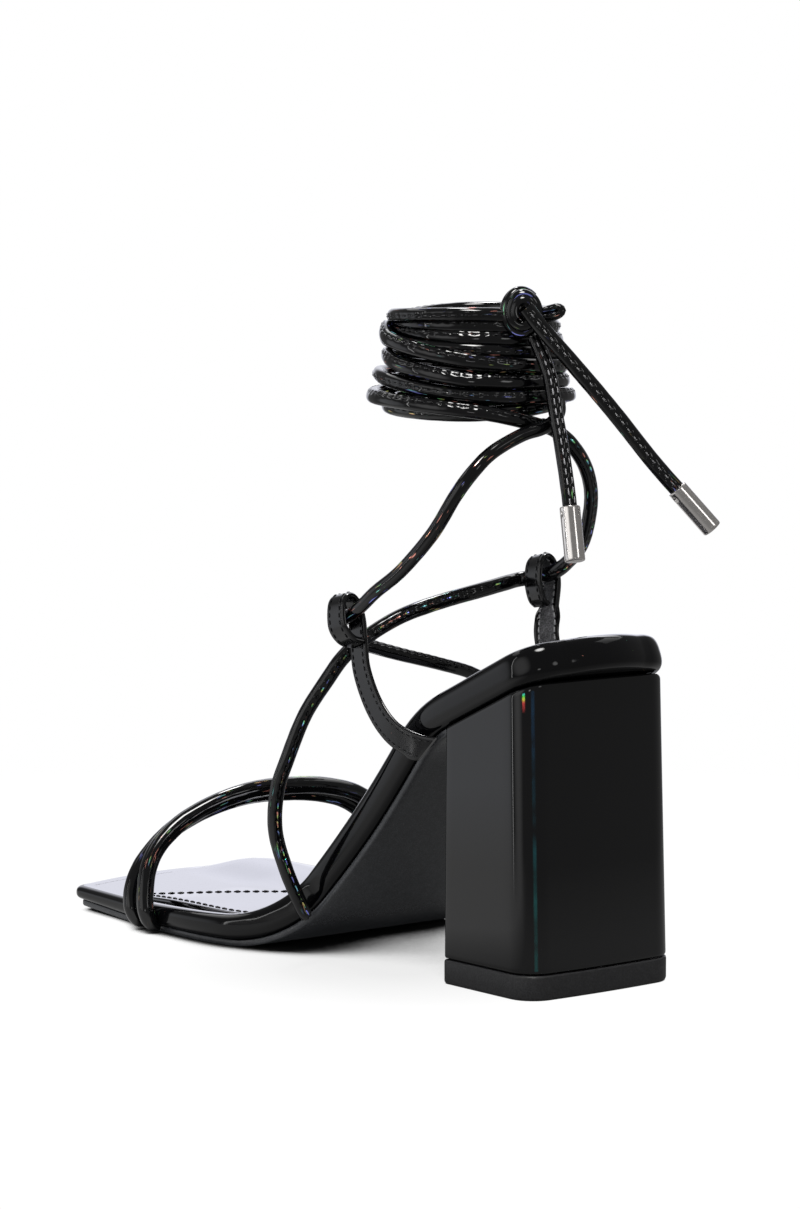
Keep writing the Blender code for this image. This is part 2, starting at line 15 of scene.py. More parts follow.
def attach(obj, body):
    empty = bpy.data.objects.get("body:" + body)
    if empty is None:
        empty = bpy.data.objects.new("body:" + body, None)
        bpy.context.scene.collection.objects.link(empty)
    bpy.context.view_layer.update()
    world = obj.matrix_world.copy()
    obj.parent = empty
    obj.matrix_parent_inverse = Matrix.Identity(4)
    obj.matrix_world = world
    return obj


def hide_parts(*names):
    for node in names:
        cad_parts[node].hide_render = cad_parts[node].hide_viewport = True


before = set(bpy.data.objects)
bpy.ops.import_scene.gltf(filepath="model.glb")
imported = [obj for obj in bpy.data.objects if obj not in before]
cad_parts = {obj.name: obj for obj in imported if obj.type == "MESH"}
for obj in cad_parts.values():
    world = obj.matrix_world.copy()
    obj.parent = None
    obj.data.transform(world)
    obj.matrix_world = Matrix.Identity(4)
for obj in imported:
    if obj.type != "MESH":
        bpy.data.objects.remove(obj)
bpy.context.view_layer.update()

MM = 0.001
SHIFT = Vector((-0.04, 2.47, 0.0))  # from the tables to the frame
GAP = 0.3

# Sizes of the last, the sole and the heel
TOE_CORNERS_Y = -107.0
HEEL_BACK = 107.0
HEEL_SEAT_HEIGHT = 93.2
HEEL_SEAT_ANGLE = 23.8
ARCH_ANGLE = 50.2
BREAST_Y = 56.1
BALL_FILLET = 45.0
BREAST_FILLET = 43.0
TOE_SPRING_ANGLE = 2.4
TOE_SPRING_START = -70.0
TOE_SPRING_FILLET = 120.0
TOE_CORNER = 5.5
HEEL_CORNER = 13.0
TOE_BOW = 6.0
HEEL_BOW = 2.5
STATION = 2.5
RIM_ROLL = 3.4
RIM_SQUARENESS = 2.7  # 2 is a half round edge, more is squarer
DISH_DEPTH = 1.0
SOCK_DIP = 1.7  # how much deeper the sock lies behind the ball
SOCK_DIP_FROM_TO = (44.0, 86.0)
PAD_CROWN = 3.7  # how far the toe part's outer half stands above the rim
SOCK_CROWN = 0.3
CROWN_FROM_TO = (0.0, 26.0)  # where the toe part rises, from the middle outwards
CROWN_RAMP = 12.0  # how far in from the rim the padding reaches its full height
CROWN_FADE = 34.0  # how far behind the sock's front the toe part's height is gone
OUTSOLE_THICKNESS = 2.0
OUTSOLE_INSET = 2.2

HEEL_MEDIAL = 26.1
HEEL_LATERAL = 30.9
HEEL_FRONT = 65.6
HEEL_FOOT_BACK = 104.0
HEEL_LEAN = 2.6
HEEL_WAIST = 0.6
HEEL_ROUND = 8.5
HEEL_BREAST_ROUND = 1.5
LIFT_HEIGHT = 7.2
LIFT_PROUD = 0.1

SOCK_INSET = 7.8
SOCK_GAP = 0.4
SOCK_THICKNESS = 1.3
SOCK_START = 56.0
SOCK_SKEW = 0.76
SOCK_SKEW_FADE = 84.0
SOCK_END_CORNER = 10.0
SOCK_SEAM = 2.4  # the stitch row's distance from the sock's edge

# Sizes of cords, straps and tips
TOE_CORD = 5.2
LACE = 3.9
LACE_STITCH = 2.9  # from one stitch to the next
LACE_STEP = 0.6
COIL_WIDTH = LACE + 0.6
COIL_THICKNESS = LACE - 0.4
COIL_STEP = 0.75
INNER_TURN_THICKNESS = LACE - 0.6
INNER_TURN_STEP = 1.0
KNOT_LOOP_THICKNESS = LACE - 0.6
END_THICKNESS = LACE - 0.2
FINE_STEP = 0.5
ROUTE_STEPS = 10  # points to each span of a cord's route
THREAD_END = 0.55  # how thin a thread is at its ends
STRAP_WIDTH = 7.6
STRAP_THICKNESS = 1.6
STRAP_STITCH = 2.2
STRAP_LOOP_FROM = 5
TIP_DIAMETER = 6.0
TIP_LENGTH = 16.0
TIP_BORE = 4.6
TIP_SOCKET = 5.0
WRAP_CENTRE = (-0.9, 45.8)
KNOT_AT = Vector((3.7, 74.1, 193.8))
KNOT_FACES = 38.6
KNOT_TURNS = 2.5
KNOT_HALF_WIDTH = 5.0  # to the middle of its outer strand
KNOT_HALF_HEIGHT = 6.6
KNOT_STRAND = 3.5
KNOT_LOOKS_BACK = 3.0  # how far its seam faces the back

# The camera, fitted to the photograph
CAMERA_AT = (0.66183, 0.84575, 0.1973)
CAMERA_HEADING = 38.56
CAMERA_DOWN = 4.957
CAMERA_FOCAL_PIXELS = 3511.67
CAMERA_SENSOR = 36.0
PHOTO_SIZE = (800, 1209)

Section = namedtuple("Section", "along medial lateral thick")
FOOTBED = [
    Section(0, 41.6, 41.6, 4.2),
    Section(30, 43.0, 42.8, 5.3),
    Section(62, 45.0, 44.4, 6.7),
    Section(82, 43.4, 45.0, 7.4),
    Section(100, 38.4, 43.0, 8.4),
    Section(122, 31.6, 38.0, 9.4),
    Section(150, 26.8, 32.0, 10.0),
    Section(176, 25.6, 29.4, 10.0),
    Section(205, 26.4, 29.2, 10.0),
    Section(250, 26.4, 29.4, 10.4),
]

# Routes of the cords: x, y, z and the share of the full size there
TOE_STRAP_REAR = [
    (43.7, -53.2, 1.5, 0.36), (46.7, -53.6, 3.2, 0.8), (47.9, -54.6, 7.6, 1), (47.0, -56.0, 13.2, 1),
    (44.6, -57.6, 20.0, 1), (40.6, -58.6, 25.8, 1), (34.6, -58.4, 31.2, 1), (28.0, -57.2, 35.4, 1),
    (18.0, -54.6, 39.8, 1), (6.0, -52.0, 42.4, 1), (-8.0, -50.4, 42.6, 1), (-20.0, -49.2, 41.4, 1),
    (-31.0, -48.2, 38.2, 1), (-39.5, -47.8, 31.8, 1), (-45.2, -47.6, 22.5, 1), (-47.8, -47.4, 12.5, 1),
    (-47.2, -47.0, 3.8, 0.8), (-44.6, -46.8, 1.5, 0.36),
]
TOE_STRAP_FRONT = [
    (43.4, -62.0, 1.5, 0.36), (46.0, -62.2, 3.2, 0.8), (47.1, -63.4, 7.4, 1), (45.8, -64.9, 12.6, 1),
    (42.6, -65.6, 18.6, 1), (38.4, -65.3, 23.7, 1), (33.0, -64.4, 28.7, 1), (27.0, -62.8, 32.7, 1),
    (17.4, -60.0, 37.0, 1), (6.0, -57.4, 39.6, 1), (-8.0, -55.8, 39.8, 1), (-19.6, -54.6, 38.6, 1),
    (-30.4, -53.8, 35.4, 1), (-38.8, -53.6, 29.4, 1), (-44.8, -53.8, 20.8, 1), (-47.7, -54.2, 11.8, 1),
    (-47.0, -54.6, 3.8, 0.8), (-44.4, -54.6, 1.5, 0.36),
]
LACE_FROM_INNER_SIDE = [
    (32.6, 8.6, 12.6, 0.8), (34.8, 9.2, 15.8, 1), (39.6, 8.0, 27.2, 1), (42.0, 5.8, 39.2, 1),
    (41.8, 6.6, 51.3, 1), (40.0, 9.2, 60.8, 1), (35.8, 12.4, 74.0, 1), (30.7, 16.6, 84.5, 1),
    (26.4, 19.4, 91.6, 1), (20.6, 22.6, 97.2, 1), (11.0, 26.6, 103.0, 1), (0.0, 30.8, 107.0, 1),
    (-13.0, 34.0, 110.0, 1), (-23.6, 34.0, 111.8, 1), (-29.4, 33.6, 112.6, 1), (-32.8, 37.6, 113.6, 1),
    (-32.9, 44.2, 114.8, 1), (-33.8, 50.8, 118.4, 1), (-33.0, 59.2, 125.4, 1), (-27.6, 68.8, 138.0, 1),
    (-20.6, 74.6, 147.8, 1), (-13.4, 76.2, 155.4, 1), (-8.1, 74.3, 159.9, 1), (-4.22, 73.86, 161.02, 1),
]
LACE_FROM_OUTER_SIDE = [
    (-38.6, 8.6, 12.6, 0.8), (-41.0, 9.2, 15.8, 1), (-44.8, 8.2, 27.2, 1), (-46.4, 6.6, 39.0, 1),
    (-45.6, 7.6, 50.6, 1), (-42.6, 10.6, 61.0, 1), (-37.6, 14.4, 71.6, 1), (-31.0, 17.8, 79.2, 1),
    (-22.0, 19.8, 83.6, 1), (-10.0, 20.0, 87.0, 1), (6.0, 19.8, 91.0, 1), (20.0, 19.4, 95.0, 1),
    (27.0, 19.8, 98.4, 1), (32.0, 22.4, 101.4, 1), (33.3, 28.8, 104.0, 1), (33.6, 36.4, 107.8, 1),
    (33.4, 43.6, 112.8, 1), (31.6, 53.4, 119.6, 1), (29.2, 64.4, 130.4, 1), (26.4, 71.6, 141.8, 1),
    (22.0, 74.2, 148.6, 1), (15.0, 74.6, 154.0, 1), (5.8, 76.2, 158.6, 1), (-0.6, 77.6, 160.4, 1),
    (-4.6, 78.0, 162.2, 1), (-7.6, 77.0, 165.0, 1), (-9.2, 75.4, 168.0, 0.9),
]
LACE_END_SHORT = [
    (1.2, 76.2, 186.7, 1), (0.2, 78.1, 182.4, 1), (-0.9, 80.8, 175.0, 1), (-1.8, 82.4, 165.0, 1),
    (-2.3, 84.8, 154.0, 1), (-2.8, 86.6, 143.4, 1), (-3.5, 86.7, 138.4, 1), (-3.1, 87.9, 133.6, 1),
]
LACE_END_LONG = [
    (5.8, 78.2, 195.0, 1), (1.8, 81.4, 188.4, 1), (-6.6, 86.0, 177.8, 1), (-17.2, 91.4, 164.1, 1),
    (-26.6, 96.2, 151.2, 1), (-35.2, 102.0, 139.6, 1),
]
STRAP_INNER_SIDE = [
    (25.6, 61.8, 67.6), (27.9, 55.2, 68.4), (29.8, 47.0, 71.6), (30.6, 39.6, 78.4), (30.8, 33.8, 88.4),
    (29.8, 31.0, 97.2), (29.5, 29.5, 103.8), (30.9, 28.5, 108.8), (33.4, 28.2, 110.5), (35.9, 28.5, 108.8),
    (37.1, 29.7, 103.6), (36.6, 30.6, 100.4), (34.4, 31.4, 97.8), (31.2, 31.8, 96.8),
]
STRAP_OUTER_SIDE = [
    (-28.6, 62.0, 68.4), (-31.0, 55.6, 71.6), (-32.4, 49.6, 79.6), (-32.8, 45.2, 89.0), (-32.4, 43.4, 97.0),
    (-34.4, 42.4, 104.8), (-36.0, 41.4, 112.2), (-34.9, 40.6, 118.0), (-32.5, 40.3, 119.8),
    (-30.1, 40.6, 117.8), (-28.9, 41.4, 112.4), (-29.6, 42.2, 107.4), (-31.4, 42.6, 105.4),
]

# The turns round the ankle: angle from the back towards the inner side, radius and height.
# About four rows to a turn: right, facing the camera, left and far, as the photograph sees them.
Turn = namedtuple("Turn", "angle radius height")
WRAP = [
    Turn(-6, 28.2, 160.9), Turn(38, 29.4, 165.4), Turn(128, 29.2, 169.6), Turn(218, 26.6, 170.6),
    Turn(308, 26.6, 168.6), Turn(398, 25.8, 164.6), Turn(488, 24.8, 166.4), Turn(578, 26.2, 166.8),
    Turn(668, 28.8, 169.6), Turn(758, 27.4, 169.8), Turn(848, 27.4, 175.6), Turn(938, 26.2, 175.0),
    Turn(1028, 27.0, 174.0), Turn(1118, 28.2, 174.3), Turn(1160, 27.8, 177.8), Turn(1208, 24.8, 181.6),
    Turn(1298, 25.2, 179.6), Turn(1388, 26.6, 178.0), Turn(1478, 28.4, 179.8), Turn(1536, 28.0, 185.8),
    Turn(1568, 25.0, 189.4), Turn(1658, 24.6, 184.6), Turn(1748, 25.8, 182.2), Turn(1838, 25.6, 182.8),
    Turn(1900, 24.0, 184.6), Turn(1928, 25.2, 186.0), Turn(2018, 24.0, 188.4), Turn(2108, 25.0, 186.0),
    Turn(2198, 25.2, 186.4), Turn(2260, 22.6, 188.0), Turn(2288, 22.2, 190.2), Turn(2378, 23.6, 191.2),
    Turn(2468, 24.2, 189.6), Turn(2558, 24.6, 189.9), Turn(2648, 22.0, 191.2), Turn(2738, 23.2, 194.7),
    Turn(2828, 23.6, 193.0), Turn(2874, 25.0, 192.6), Turn(2918, 25.6, 193.0), Turn(2962, 25.0, 192.8),
    Turn(3008, 23.0, 192.4), Turn(3050, 19.6, 191.0),
]

# Whole turns behind those, on the inside of the coil: radius, then the heights of the same four places
Ring = namedtuple("Ring", "radius right near left far")
INNER_TURNS = [
    Ring(23.6, 168.6, 167.2, 168.0, 169.0),
    Ring(23.8, 173.4, 172.6, 174.2, 173.2),
    Ring(23.4, 177.8, 177.4, 179.6, 178.0),
    Ring(22.6, 184.6, 183.4, 185.4, 184.0),
]


# Reading tables and following the last

def smooth(table, column, at):
    """A named column of a table, read smoothly between its rows."""
    xs = [row[0] for row in table]
    ys = [getattr(row, column) for row in table]
    at = min(max(at, xs[0]), xs[-1])
    i = max(k for k in range(len(xs) - 1) if xs[k] <= at)

    def slope(k):
        low, high = max(k - 1, 0), min(k + 1, len(xs) - 1)
        return (ys[high] - ys[low]) / (xs[high] - xs[low])

    span = xs[i + 1] - xs[i]
    t = (at - xs[i]) / span
    return (
        (2 * t**3 - 3 * t**2 + 1) * ys[i]
        + (t**3 - 2 * t**2 + t) * span * slope(i)
        + (3 * t**2 - 2 * t**3) * ys[i + 1]
        + (t**3 - t**2) * span * slope(i + 1)
    )


Stretch = namedtuple("Stretch", "start length y z pitch turn")


def last_line():
    """The footbed's underside from toe to heel: toe spring, tread, arch and seat, with arcs between."""
    tread = OUTSOLE_THICKNESS + GAP
    breast_z = HEEL_SEAT_HEIGHT - math.tan(math.radians(HEEL_SEAT_ANGLE)) * (HEEL_BACK - BREAST_Y)
    ball_y = BREAST_Y - (breast_z - tread) / math.tan(math.radians(ARCH_ANGLE))
    toe_z = tread + math.tan(math.radians(TOE_SPRING_ANGLE)) * (TOE_SPRING_START - TOE_CORNERS_Y)
    corners = [
        (Vector((TOE_CORNERS_Y, toe_z)), 0.0),
        (Vector((TOE_SPRING_START, tread)), TOE_SPRING_FILLET),
        (Vector((ball_y, tread)), BALL_FILLET),
        (Vector((BREAST_Y, breast_z)), BREAST_FILLET),
        (Vector((HEEL_BACK, HEEL_SEAT_HEIGHT)), 0.0),
    ]
    stretches, start, here = [], 0.0, corners[0][0]
    for k in range(1, len(corners)):
        corner, radius = corners[k]
        way = (corner - here).normalized()
        pitch = math.atan2(way.y, way.x)
        turn = 0.0
        if radius:
            after = (corners[k + 1][0] - corner).normalized()
            turn = math.atan2(after.y, after.x) - pitch
        tangent = radius * math.tan(abs(turn) / 2)
        straight = (corner - here).length - tangent
        stretches.append(Stretch(start, straight, here.x, here.y, pitch, 0.0))
        start += straight
        if radius:
            bend = here + way * straight
            arc = radius * abs(turn)
            stretches.append(Stretch(start, arc, bend.x, bend.y, pitch, turn / arc))
            start += arc
            here = corner + after * tangent
    return stretches, start


LAST, FOOTBED_LENGTH = last_line()


def on_last(along):
    """(y, z, pitch) of the footbed's underside at a distance from the toe."""
    piece = LAST[0]
    for stretch in LAST:
        if along >= stretch.start:
            piece = stretch
    run = along - piece.start
    if piece.turn:
        radius = 1 / piece.turn
        pitch = piece.pitch + run * piece.turn
        y = piece.y + radius * (math.sin(pitch) - math.sin(piece.pitch))
        z = piece.z - radius * (math.cos(pitch) - math.cos(piece.pitch))
        return y, z, pitch
    return piece.y + run * math.cos(piece.pitch), piece.z + run * math.sin(piece.pitch), piece.pitch


def bent(along, x, height):
    """A point of the flat blank, bent to the last."""
    y, z, pitch = on_last(along)
    return Vector((x, y - math.sin(pitch) * height, z + math.cos(pitch) * height))


def along_at(y):
    """Distance along the last where its line passes over y."""
    low, high = 0.0, FOOTBED_LENGTH
    for _ in range(40):
        middle = (low + high) / 2
        if on_last(middle)[0] < y:
            low = middle
        else:
            high = middle
    return low


def footbed_top(along):
    return smooth(FOOTBED, "thick", along)


def eased(value, low, high):
    """0 below low, 1 above high, smooth between."""
    t = min(max((value - low) / (high - low), 0.0), 1.0)
    return t * t * (3 - 2 * t)


def bell(offset, spread):
    """1 at no offset, next to nothing two spreads away."""
    return math.exp(-((offset / spread) ** 2))


def heading(azimuth, elevation):
    """A way in space: azimuth from +Y towards +X."""
    a, e = math.radians(azimuth), math.radians(elevation)
    return (math.sin(a) * math.cos(e), math.cos(a) * math.cos(e), math.sin(e))


# Collecting a piece's points and faces

class Shape:
    """Points and faces of one piece, in millimetres, with the material row of each face."""

    def __init__(self):
        self.points, self.faces, self.rows, self.places = [], [], [], {}

    def face(self, corners, row=0):
        self.faces.append(tuple(corners))
        self.rows.append(row)

    def skin(self, rings, row=0, capped=True, row_of=None):
        """Quads between closed rings, with flat ends if capped; gives its first point's number."""
        start, count = len(self.points), len(rings[0])
        for ring in rings:
            self.points.extend(ring)
        for k in range(len(rings) - 1):
            base = start + k * count
            for j in range(count):
                n = (j + 1) % count
                at = row_of(k, j) if row_of else row
                self.face((base + j, base + n, base + count + n, base + count + j), at)
        if capped:
            last = start + (len(rings) - 1) * count
            self.face(range(start + count - 1, start - 1, -1), row)
            self.face(range(last, last + count), row)
        return start

    def thread(self, points, radius, row, sides=6):
        """A short thread on a few points, thin at its ends."""
        rings = []
        for k, point in enumerate(points):
            way = (points[min(k + 1, len(points) - 1)] - points[max(k - 1, 0)]).normalized()
            one = way.orthogonal().normalized()
            other = way.cross(one)
            size = radius * (THREAD_END if k in (0, len(points) - 1) else 1.0)
            turns = [2 * math.pi * j / sides for j in range(sides)]
            rings.append([point + one * math.cos(t) * size + other * math.sin(t) * size for t in turns])
        self.skin(rings, row)

    def make(self, name, finishes, slot, replaced=(), sharp=45):
        """The finished object, riding on the sandal."""
        mesh = bpy.data.meshes.new(name)
        mesh.from_pydata([(p + SHIFT) * MM for p in self.points], [], self.faces)
        for finish in finishes:
            mesh.materials.append(finish)
        mesh.polygons.foreach_set("material_index", self.rows)
        if self.places:
            kept = mesh.attributes.new("cord_place", "FLOAT_VECTOR", "POINT")
            for number, place in self.places.items():
                kept.data[number].vector = place
        bm = bmesh.new()
        bm.from_mesh(mesh)
        bmesh.ops.recalc_face_normals(bm, faces=bm.faces)
        bm.to_mesh(mesh)
        bm.free()
        mesh.shade_smooth()
        mesh.set_sharp_from_angle(angle=math.radians(sharp))
        made = bpy.data.objects.new(name, mesh)
        bpy.context.scene.collection.objects.link(made)
        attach(made, "root")
        if replaced:
            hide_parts(*replaced)
        return made


# Materials

def feed(tree, socket, value):
    """Sets a socket's value, or links another node's output to it."""
    if isinstance(value, bpy.types.NodeSocket):
        tree.links.new(value, socket)
    else:
        socket.default_value = value


def put(tree, kind, inputs=None, **settings):
    """A node with its settings; each input gets a value or another node's output."""
    made = tree.nodes.new("ShaderNode" + kind)
    for key, value in settings.items():
        setattr(made, key, value)
    for key, value in (inputs or {}).items():
        feed(tree, made.inputs[key], value)
    return made


def calc(tree, operation, one, two=0.0):
    """The outcome of a sum on one or two values."""
    return put(tree, "Math", {0: one, 1: two}, operation=operation).outputs[0]


def vector(tree, operation, one, two=(0, 0, 0)):
    """The outcome of a sum on vectors; to scale one, two is the number."""
    second = "Scale" if operation == "SCALE" else 1
    made = put(tree, "VectorMath", {0: one, second: two}, operation=operation)
    return made.outputs["Value" if operation in ("DOT_PRODUCT", "DISTANCE", "LENGTH") else "Vector"]


def ranged(tree, value, low, high, bottom=0.0, top=1.0, soft=False):
    """A value carried over from one range to another."""
    ends = {"Value": value, "From Min": low, "From Max": high, "To Min": bottom, "To Max": top}
    return put(tree, "MapRange", ends, interpolation_type="SMOOTHSTEP" if soft else "LINEAR").outputs[0]


def mixed(tree, share, one, two):
    """A colour between two others."""
    return put(tree, "Mix", {0: share, 6: one, 7: two}, data_type="RGBA").outputs[2]


def cloud(tree, place, scale, detail):
    """Soft noise over the surface."""
    return put(tree, "TexNoise", {"Vector": place, "Scale": scale, "Detail": detail}).outputs["Fac"]


def spectrum(tree, hue, saturation, value):
    """A colour of the rainbow."""
    return put(tree, "CombineColor", {"Red": hue, "Green": saturation, "Blue": value}, mode="HSV").outputs[0]


def relief(tree, height, strength, depth):
    """A normal bent by a height."""
    return put(tree, "Bump", {"Height": height, "Strength": strength, "Distance": depth}).outputs[0]


def new_group(name, inputs, outputs):
    """An empty shader group with named sockets: (tree, what it is given, what it puts out)."""
    tree = bpy.data.node_groups.new(name, "ShaderNodeTree")
    tree.interface.new_socket("Place", in_out="INPUT", socket_type="NodeSocketVector")
    for label, value in inputs.items():
        socket = tree.interface.new_socket(label, in_out="INPUT", socket_type="NodeSocketFloat")
        socket.default_value = value
    for label, kind in outputs.items():
        tree.interface.new_socket(label, in_out="OUTPUT", socket_type="NodeSocket" + kind)
    return tree, tree.nodes.new("NodeGroupInput").outputs, tree.nodes.new("NodeGroupOutput").inputs


PATCH_EDGE = (0.45, 0.62)  # noise levels between which a patch of streaks fades in
STREAK_LEVEL = 0.86  # noise level above which a streak shows, with no flecks asked for
STREAK_GAIN = 0.22  # how far an amount of 1 lowers that level
STREAK_EDGE = 0.06
HUE_SCALE = 0.4  # the scale of the colour changes, as a share of the streaks'
HUE_NOISE = (0.4, 0.6)
STREAK_HUES = (0.02, 0.66)
STREAK_SATURATION = 0.66
STREAK_VALUE = 0.9


def make_rainbow_group():
    """Rainbow streaks of the film: a colour from the spectrum, and a mask of fine streaks in patches."""
    tree, given, out = new_group(
        "rainbow_streaks", {"Streak Scale": 1.0, "Patch Scale": 0.05, "Amount": 0.5},
        {"Color": "Color", "Mask": "Float"},
    )
    place, scale = given["Place"], given["Streak Scale"]
    zone = ranged(tree, cloud(tree, place, given["Patch Scale"], 1.0), *PATCH_EDGE)
    level = calc(tree, "ADD", calc(tree, "MULTIPLY", given["Amount"], -STREAK_GAIN), STREAK_LEVEL)
    line = ranged(tree, cloud(tree, place, scale, 1.0), level, calc(tree, "ADD", level, STREAK_EDGE))
    hue = cloud(tree, place, calc(tree, "MULTIPLY", scale, HUE_SCALE), 0.0)
    hue = ranged(tree, hue, *HUE_NOISE, *STREAK_HUES)
    tree.links.new(spectrum(tree, hue, STREAK_SATURATION, STREAK_VALUE), out["Color"])
    tree.links.new(calc(tree, "MULTIPLY", zone, line), out["Mask"])
    return tree


GLOSS_CLOUD = 0.075  # scale of the duller patches
FILM_ROUGHNESS = 0.02


def make_glaze_group():
    """The film's surface: a faint orange peel as height, and patches of slightly duller gloss."""
    tree, given, out = new_group(
        "patent_glaze", {"Peel Scale": 0.26, "Peel": 0.5, "Dullness": 0.1},
        {"Height": "Float", "Roughness": "Float"},
    )
    peel = cloud(tree, given["Place"], given["Peel Scale"], 2.0)
    dull = calc(tree, "MULTIPLY", cloud(tree, given["Place"], GLOSS_CLOUD, 3.0), given["Dullness"])
    tree.links.new(calc(tree, "MULTIPLY", peel, given["Peel"]), out["Height"])
    tree.links.new(calc(tree, "ADD", dull, FILM_ROUGHNESS), out["Roughness"])
    return tree


MOTTLE_CLOUD = 0.42
GRAIN_DEPTH = 0.0002


def make_grain_group():
    """Fine pebbled grain for rubber, lining, thread and metal: height and a light and dark mottling."""
    tree, given, out = new_group("fine_grain", {"Scale": 1.5}, {"Height": "Float", "Mottle": "Float"})
    cells = {"Vector": given["Place"], "Scale": given["Scale"]}
    pebbles = put(tree, "TexVoronoi", cells, feature="F1").outputs["Distance"]
    tree.links.new(pebbles, out["Height"])
    patches = cloud(tree, given["Place"], MOTTLE_CLOUD, 4.0)
    tree.links.new(calc(tree, "MULTIPLY", pebbles, patches), out["Mottle"])
    return tree


RAINBOW = make_rainbow_group()
GLAZE = make_glaze_group()
GRAIN = make_grain_group()


def place_in_mm(tree):
    """Where a point of the surface is, in millimetres."""
    return vector(tree, "SCALE", put(tree, "TexCoord").outputs["Object"], 1 / MM)


def place_on_cord(tree):
    """Where a point of a cord's surface is: round the cord and along it, with the length drawn out."""
    at = put(tree, "Attribute", attribute_name="cord_place").outputs["Vector"]
    return vector(tree, "MULTIPLY", at, (1, 1, CORD_DRAWN_OUT))


def placed(tree, group, place, **values):
    """The outputs of a shared group, placed in a material with its own values."""
    made = tree.nodes.new("ShaderNodeGroup")
    made.node_tree = group
    tree.links.new(place, made.inputs["Place"])
    for key, value in values.items():
        made.inputs[key.replace("_", " ")].default_value = value
    return made.outputs


def new_material(name, **constants):
    """A material with its shader's constants set: (material, tree, the shader's inputs)."""
    made = bpy.data.materials.new(name)
    made.use_nodes = True
    shader = made.node_tree.nodes["Principled BSDF"].inputs
    for key, value in constants.items():
        shader[key.replace("_", " ")].default_value = value
    return made, made.node_tree, shader


def wire(tree, shader, **sources):
    """Links outputs to the shader's inputs, with _ for a space."""
    for key, source in sources.items():
        tree.links.new(source, shader[key.replace("_", " ")])


# Painted highlights on the heel's back corner. Each is a band of colour where the surface faces an azimuth
# within half a width, from a low height with a fade, its hue running from hue_low to hue_high (hue at the
# bottom), its brightness (light), and patchy if gaps break it.
Glint = namedtuple("Glint", "azimuth half low fade hue_low hue_high hue light patchy")
PAINTED_CORNER_GLINTS = [
    Glint(51, 4.0, 81.6, 4.0, 84.6, 87.8, 0.0, 0.95, False),
    Glint(33, 5.0, 6.0, 1.0, 30.0, 75.0, 0.5, 0.075, True),
]
GLINT_TOP_HUE = 0.6
GLINT_SATURATION = 0.9
GLINT_PATCHES = 0.09
GLINT_GAPS = (0.3, 0.6)


def painted_corner_glints(tree, colour):
    """Painted highlights round the heel's back corner, laid over a colour by the way the surface faces: a
    rainbow glint near the top and a teal line down the corner, standing in for reflections of two lights.
    """
    facing = put(tree, "TexCoord").outputs["Normal"]
    place = place_in_mm(tree)
    height = put(tree, "SeparateXYZ", {0: place}).outputs["Z"]
    gaps = ranged(tree, cloud(tree, place, GLINT_PATCHES, 2.0), *GLINT_GAPS)
    for glint in PAINTED_CORNER_GLINTS:
        near = vector(tree, "DOT_PRODUCT", facing, heading(glint.azimuth, 0))
        edges = [math.cos(math.radians(half)) for half in (glint.half, glint.half / 4)]
        tail = ranged(tree, height, glint.low, glint.low + glint.fade)
        band = calc(tree, "MULTIPLY", ranged(tree, near, *edges, soft=True), tail)
        if glint.patchy:
            band = calc(tree, "MULTIPLY", band, gaps)
        hue = ranged(tree, height, glint.hue_low, glint.hue_high, glint.hue, GLINT_TOP_HUE)
        colour = mixed(tree, band, colour, spectrum(tree, hue, GLINT_SATURATION, glint.light))
    return colour


FILM_BLACK = (0.002, 0.002, 0.0025, 1)
FILM_IOR = 1.52
PEEL_STRENGTH = 0.1
PEEL_DEPTH = 0.0003
CORD_DRAWN_OUT = 0.1


def patent(name, flecks, streak_scale=1.0, patch_scale=0.05, peel_scale=0.26, peel=0.5, dullness=0.08,
           tint=(1, 1, 1), on_cord=False, corner=False, **constants):
    """Black patent film with a clear gloss and rainbow streaks, which follow the length of a cord. Where an
    Emission Strength is given, the streaks glow as painted glints; corner lays painted highlights round the
    heel's back corner into the colour.
    """
    made, tree, shader = new_material(name, IOR=FILM_IOR, Specular_Tint=(*tint, 1), **constants)
    place = place_on_cord(tree) if on_cord else place_in_mm(tree)
    film = placed(tree, RAINBOW, place, Streak_Scale=streak_scale, Patch_Scale=patch_scale, Amount=flecks)
    glaze = placed(tree, GLAZE, place, Peel_Scale=peel_scale, Peel=peel, Dullness=dullness)
    shown = mixed(tree, film["Mask"], FILM_BLACK, film["Color"])
    # The emission makes the streaks glow where Emission Strength is set: painted glints. With corner, painted
    # highlights go into the base colour.
    wire(
        tree, shader, Base_Color=painted_corner_glints(tree, shown) if corner else shown, Metallic=film["Mask"],
        Emission_Color=vector(tree, "SCALE", film["Color"], film["Mask"]), Roughness=glaze["Roughness"],
        Normal=relief(tree, glaze["Height"], PEEL_STRENGTH, PEEL_DEPTH),
    )
    return made


def lay_grain(tree, shader, dark, light, scale, strength, depth):
    """Mottled tones and fine pebbles on a material; gives the mottling."""
    grain = placed(tree, GRAIN, place_in_mm(tree), Scale=scale)
    tones = mixed(tree, grain["Mottle"], (*dark, 1), (*light, 1))
    wire(tree, shader, Base_Color=tones, Normal=relief(tree, grain["Height"], strength, depth))
    return grain["Mottle"]


def grained(name, dark, light, roughness, scale, strength, **constants):
    """A plain material with fine grain: rubber, lining or thread."""
    made, tree, shader = new_material(name, Roughness=roughness, **constants)
    lay_grain(tree, shader, dark, light, scale, strength, GRAIN_DEPTH)
    return made


NICKEL_TONES = ((0.86, 0.82, 0.79), (0.98, 0.95, 0.92))
NICKEL_ROUGHNESS = (0.15, 0.24)
NICKEL_SCALE = 0.7
NICKEL_RELIEF = 0.05


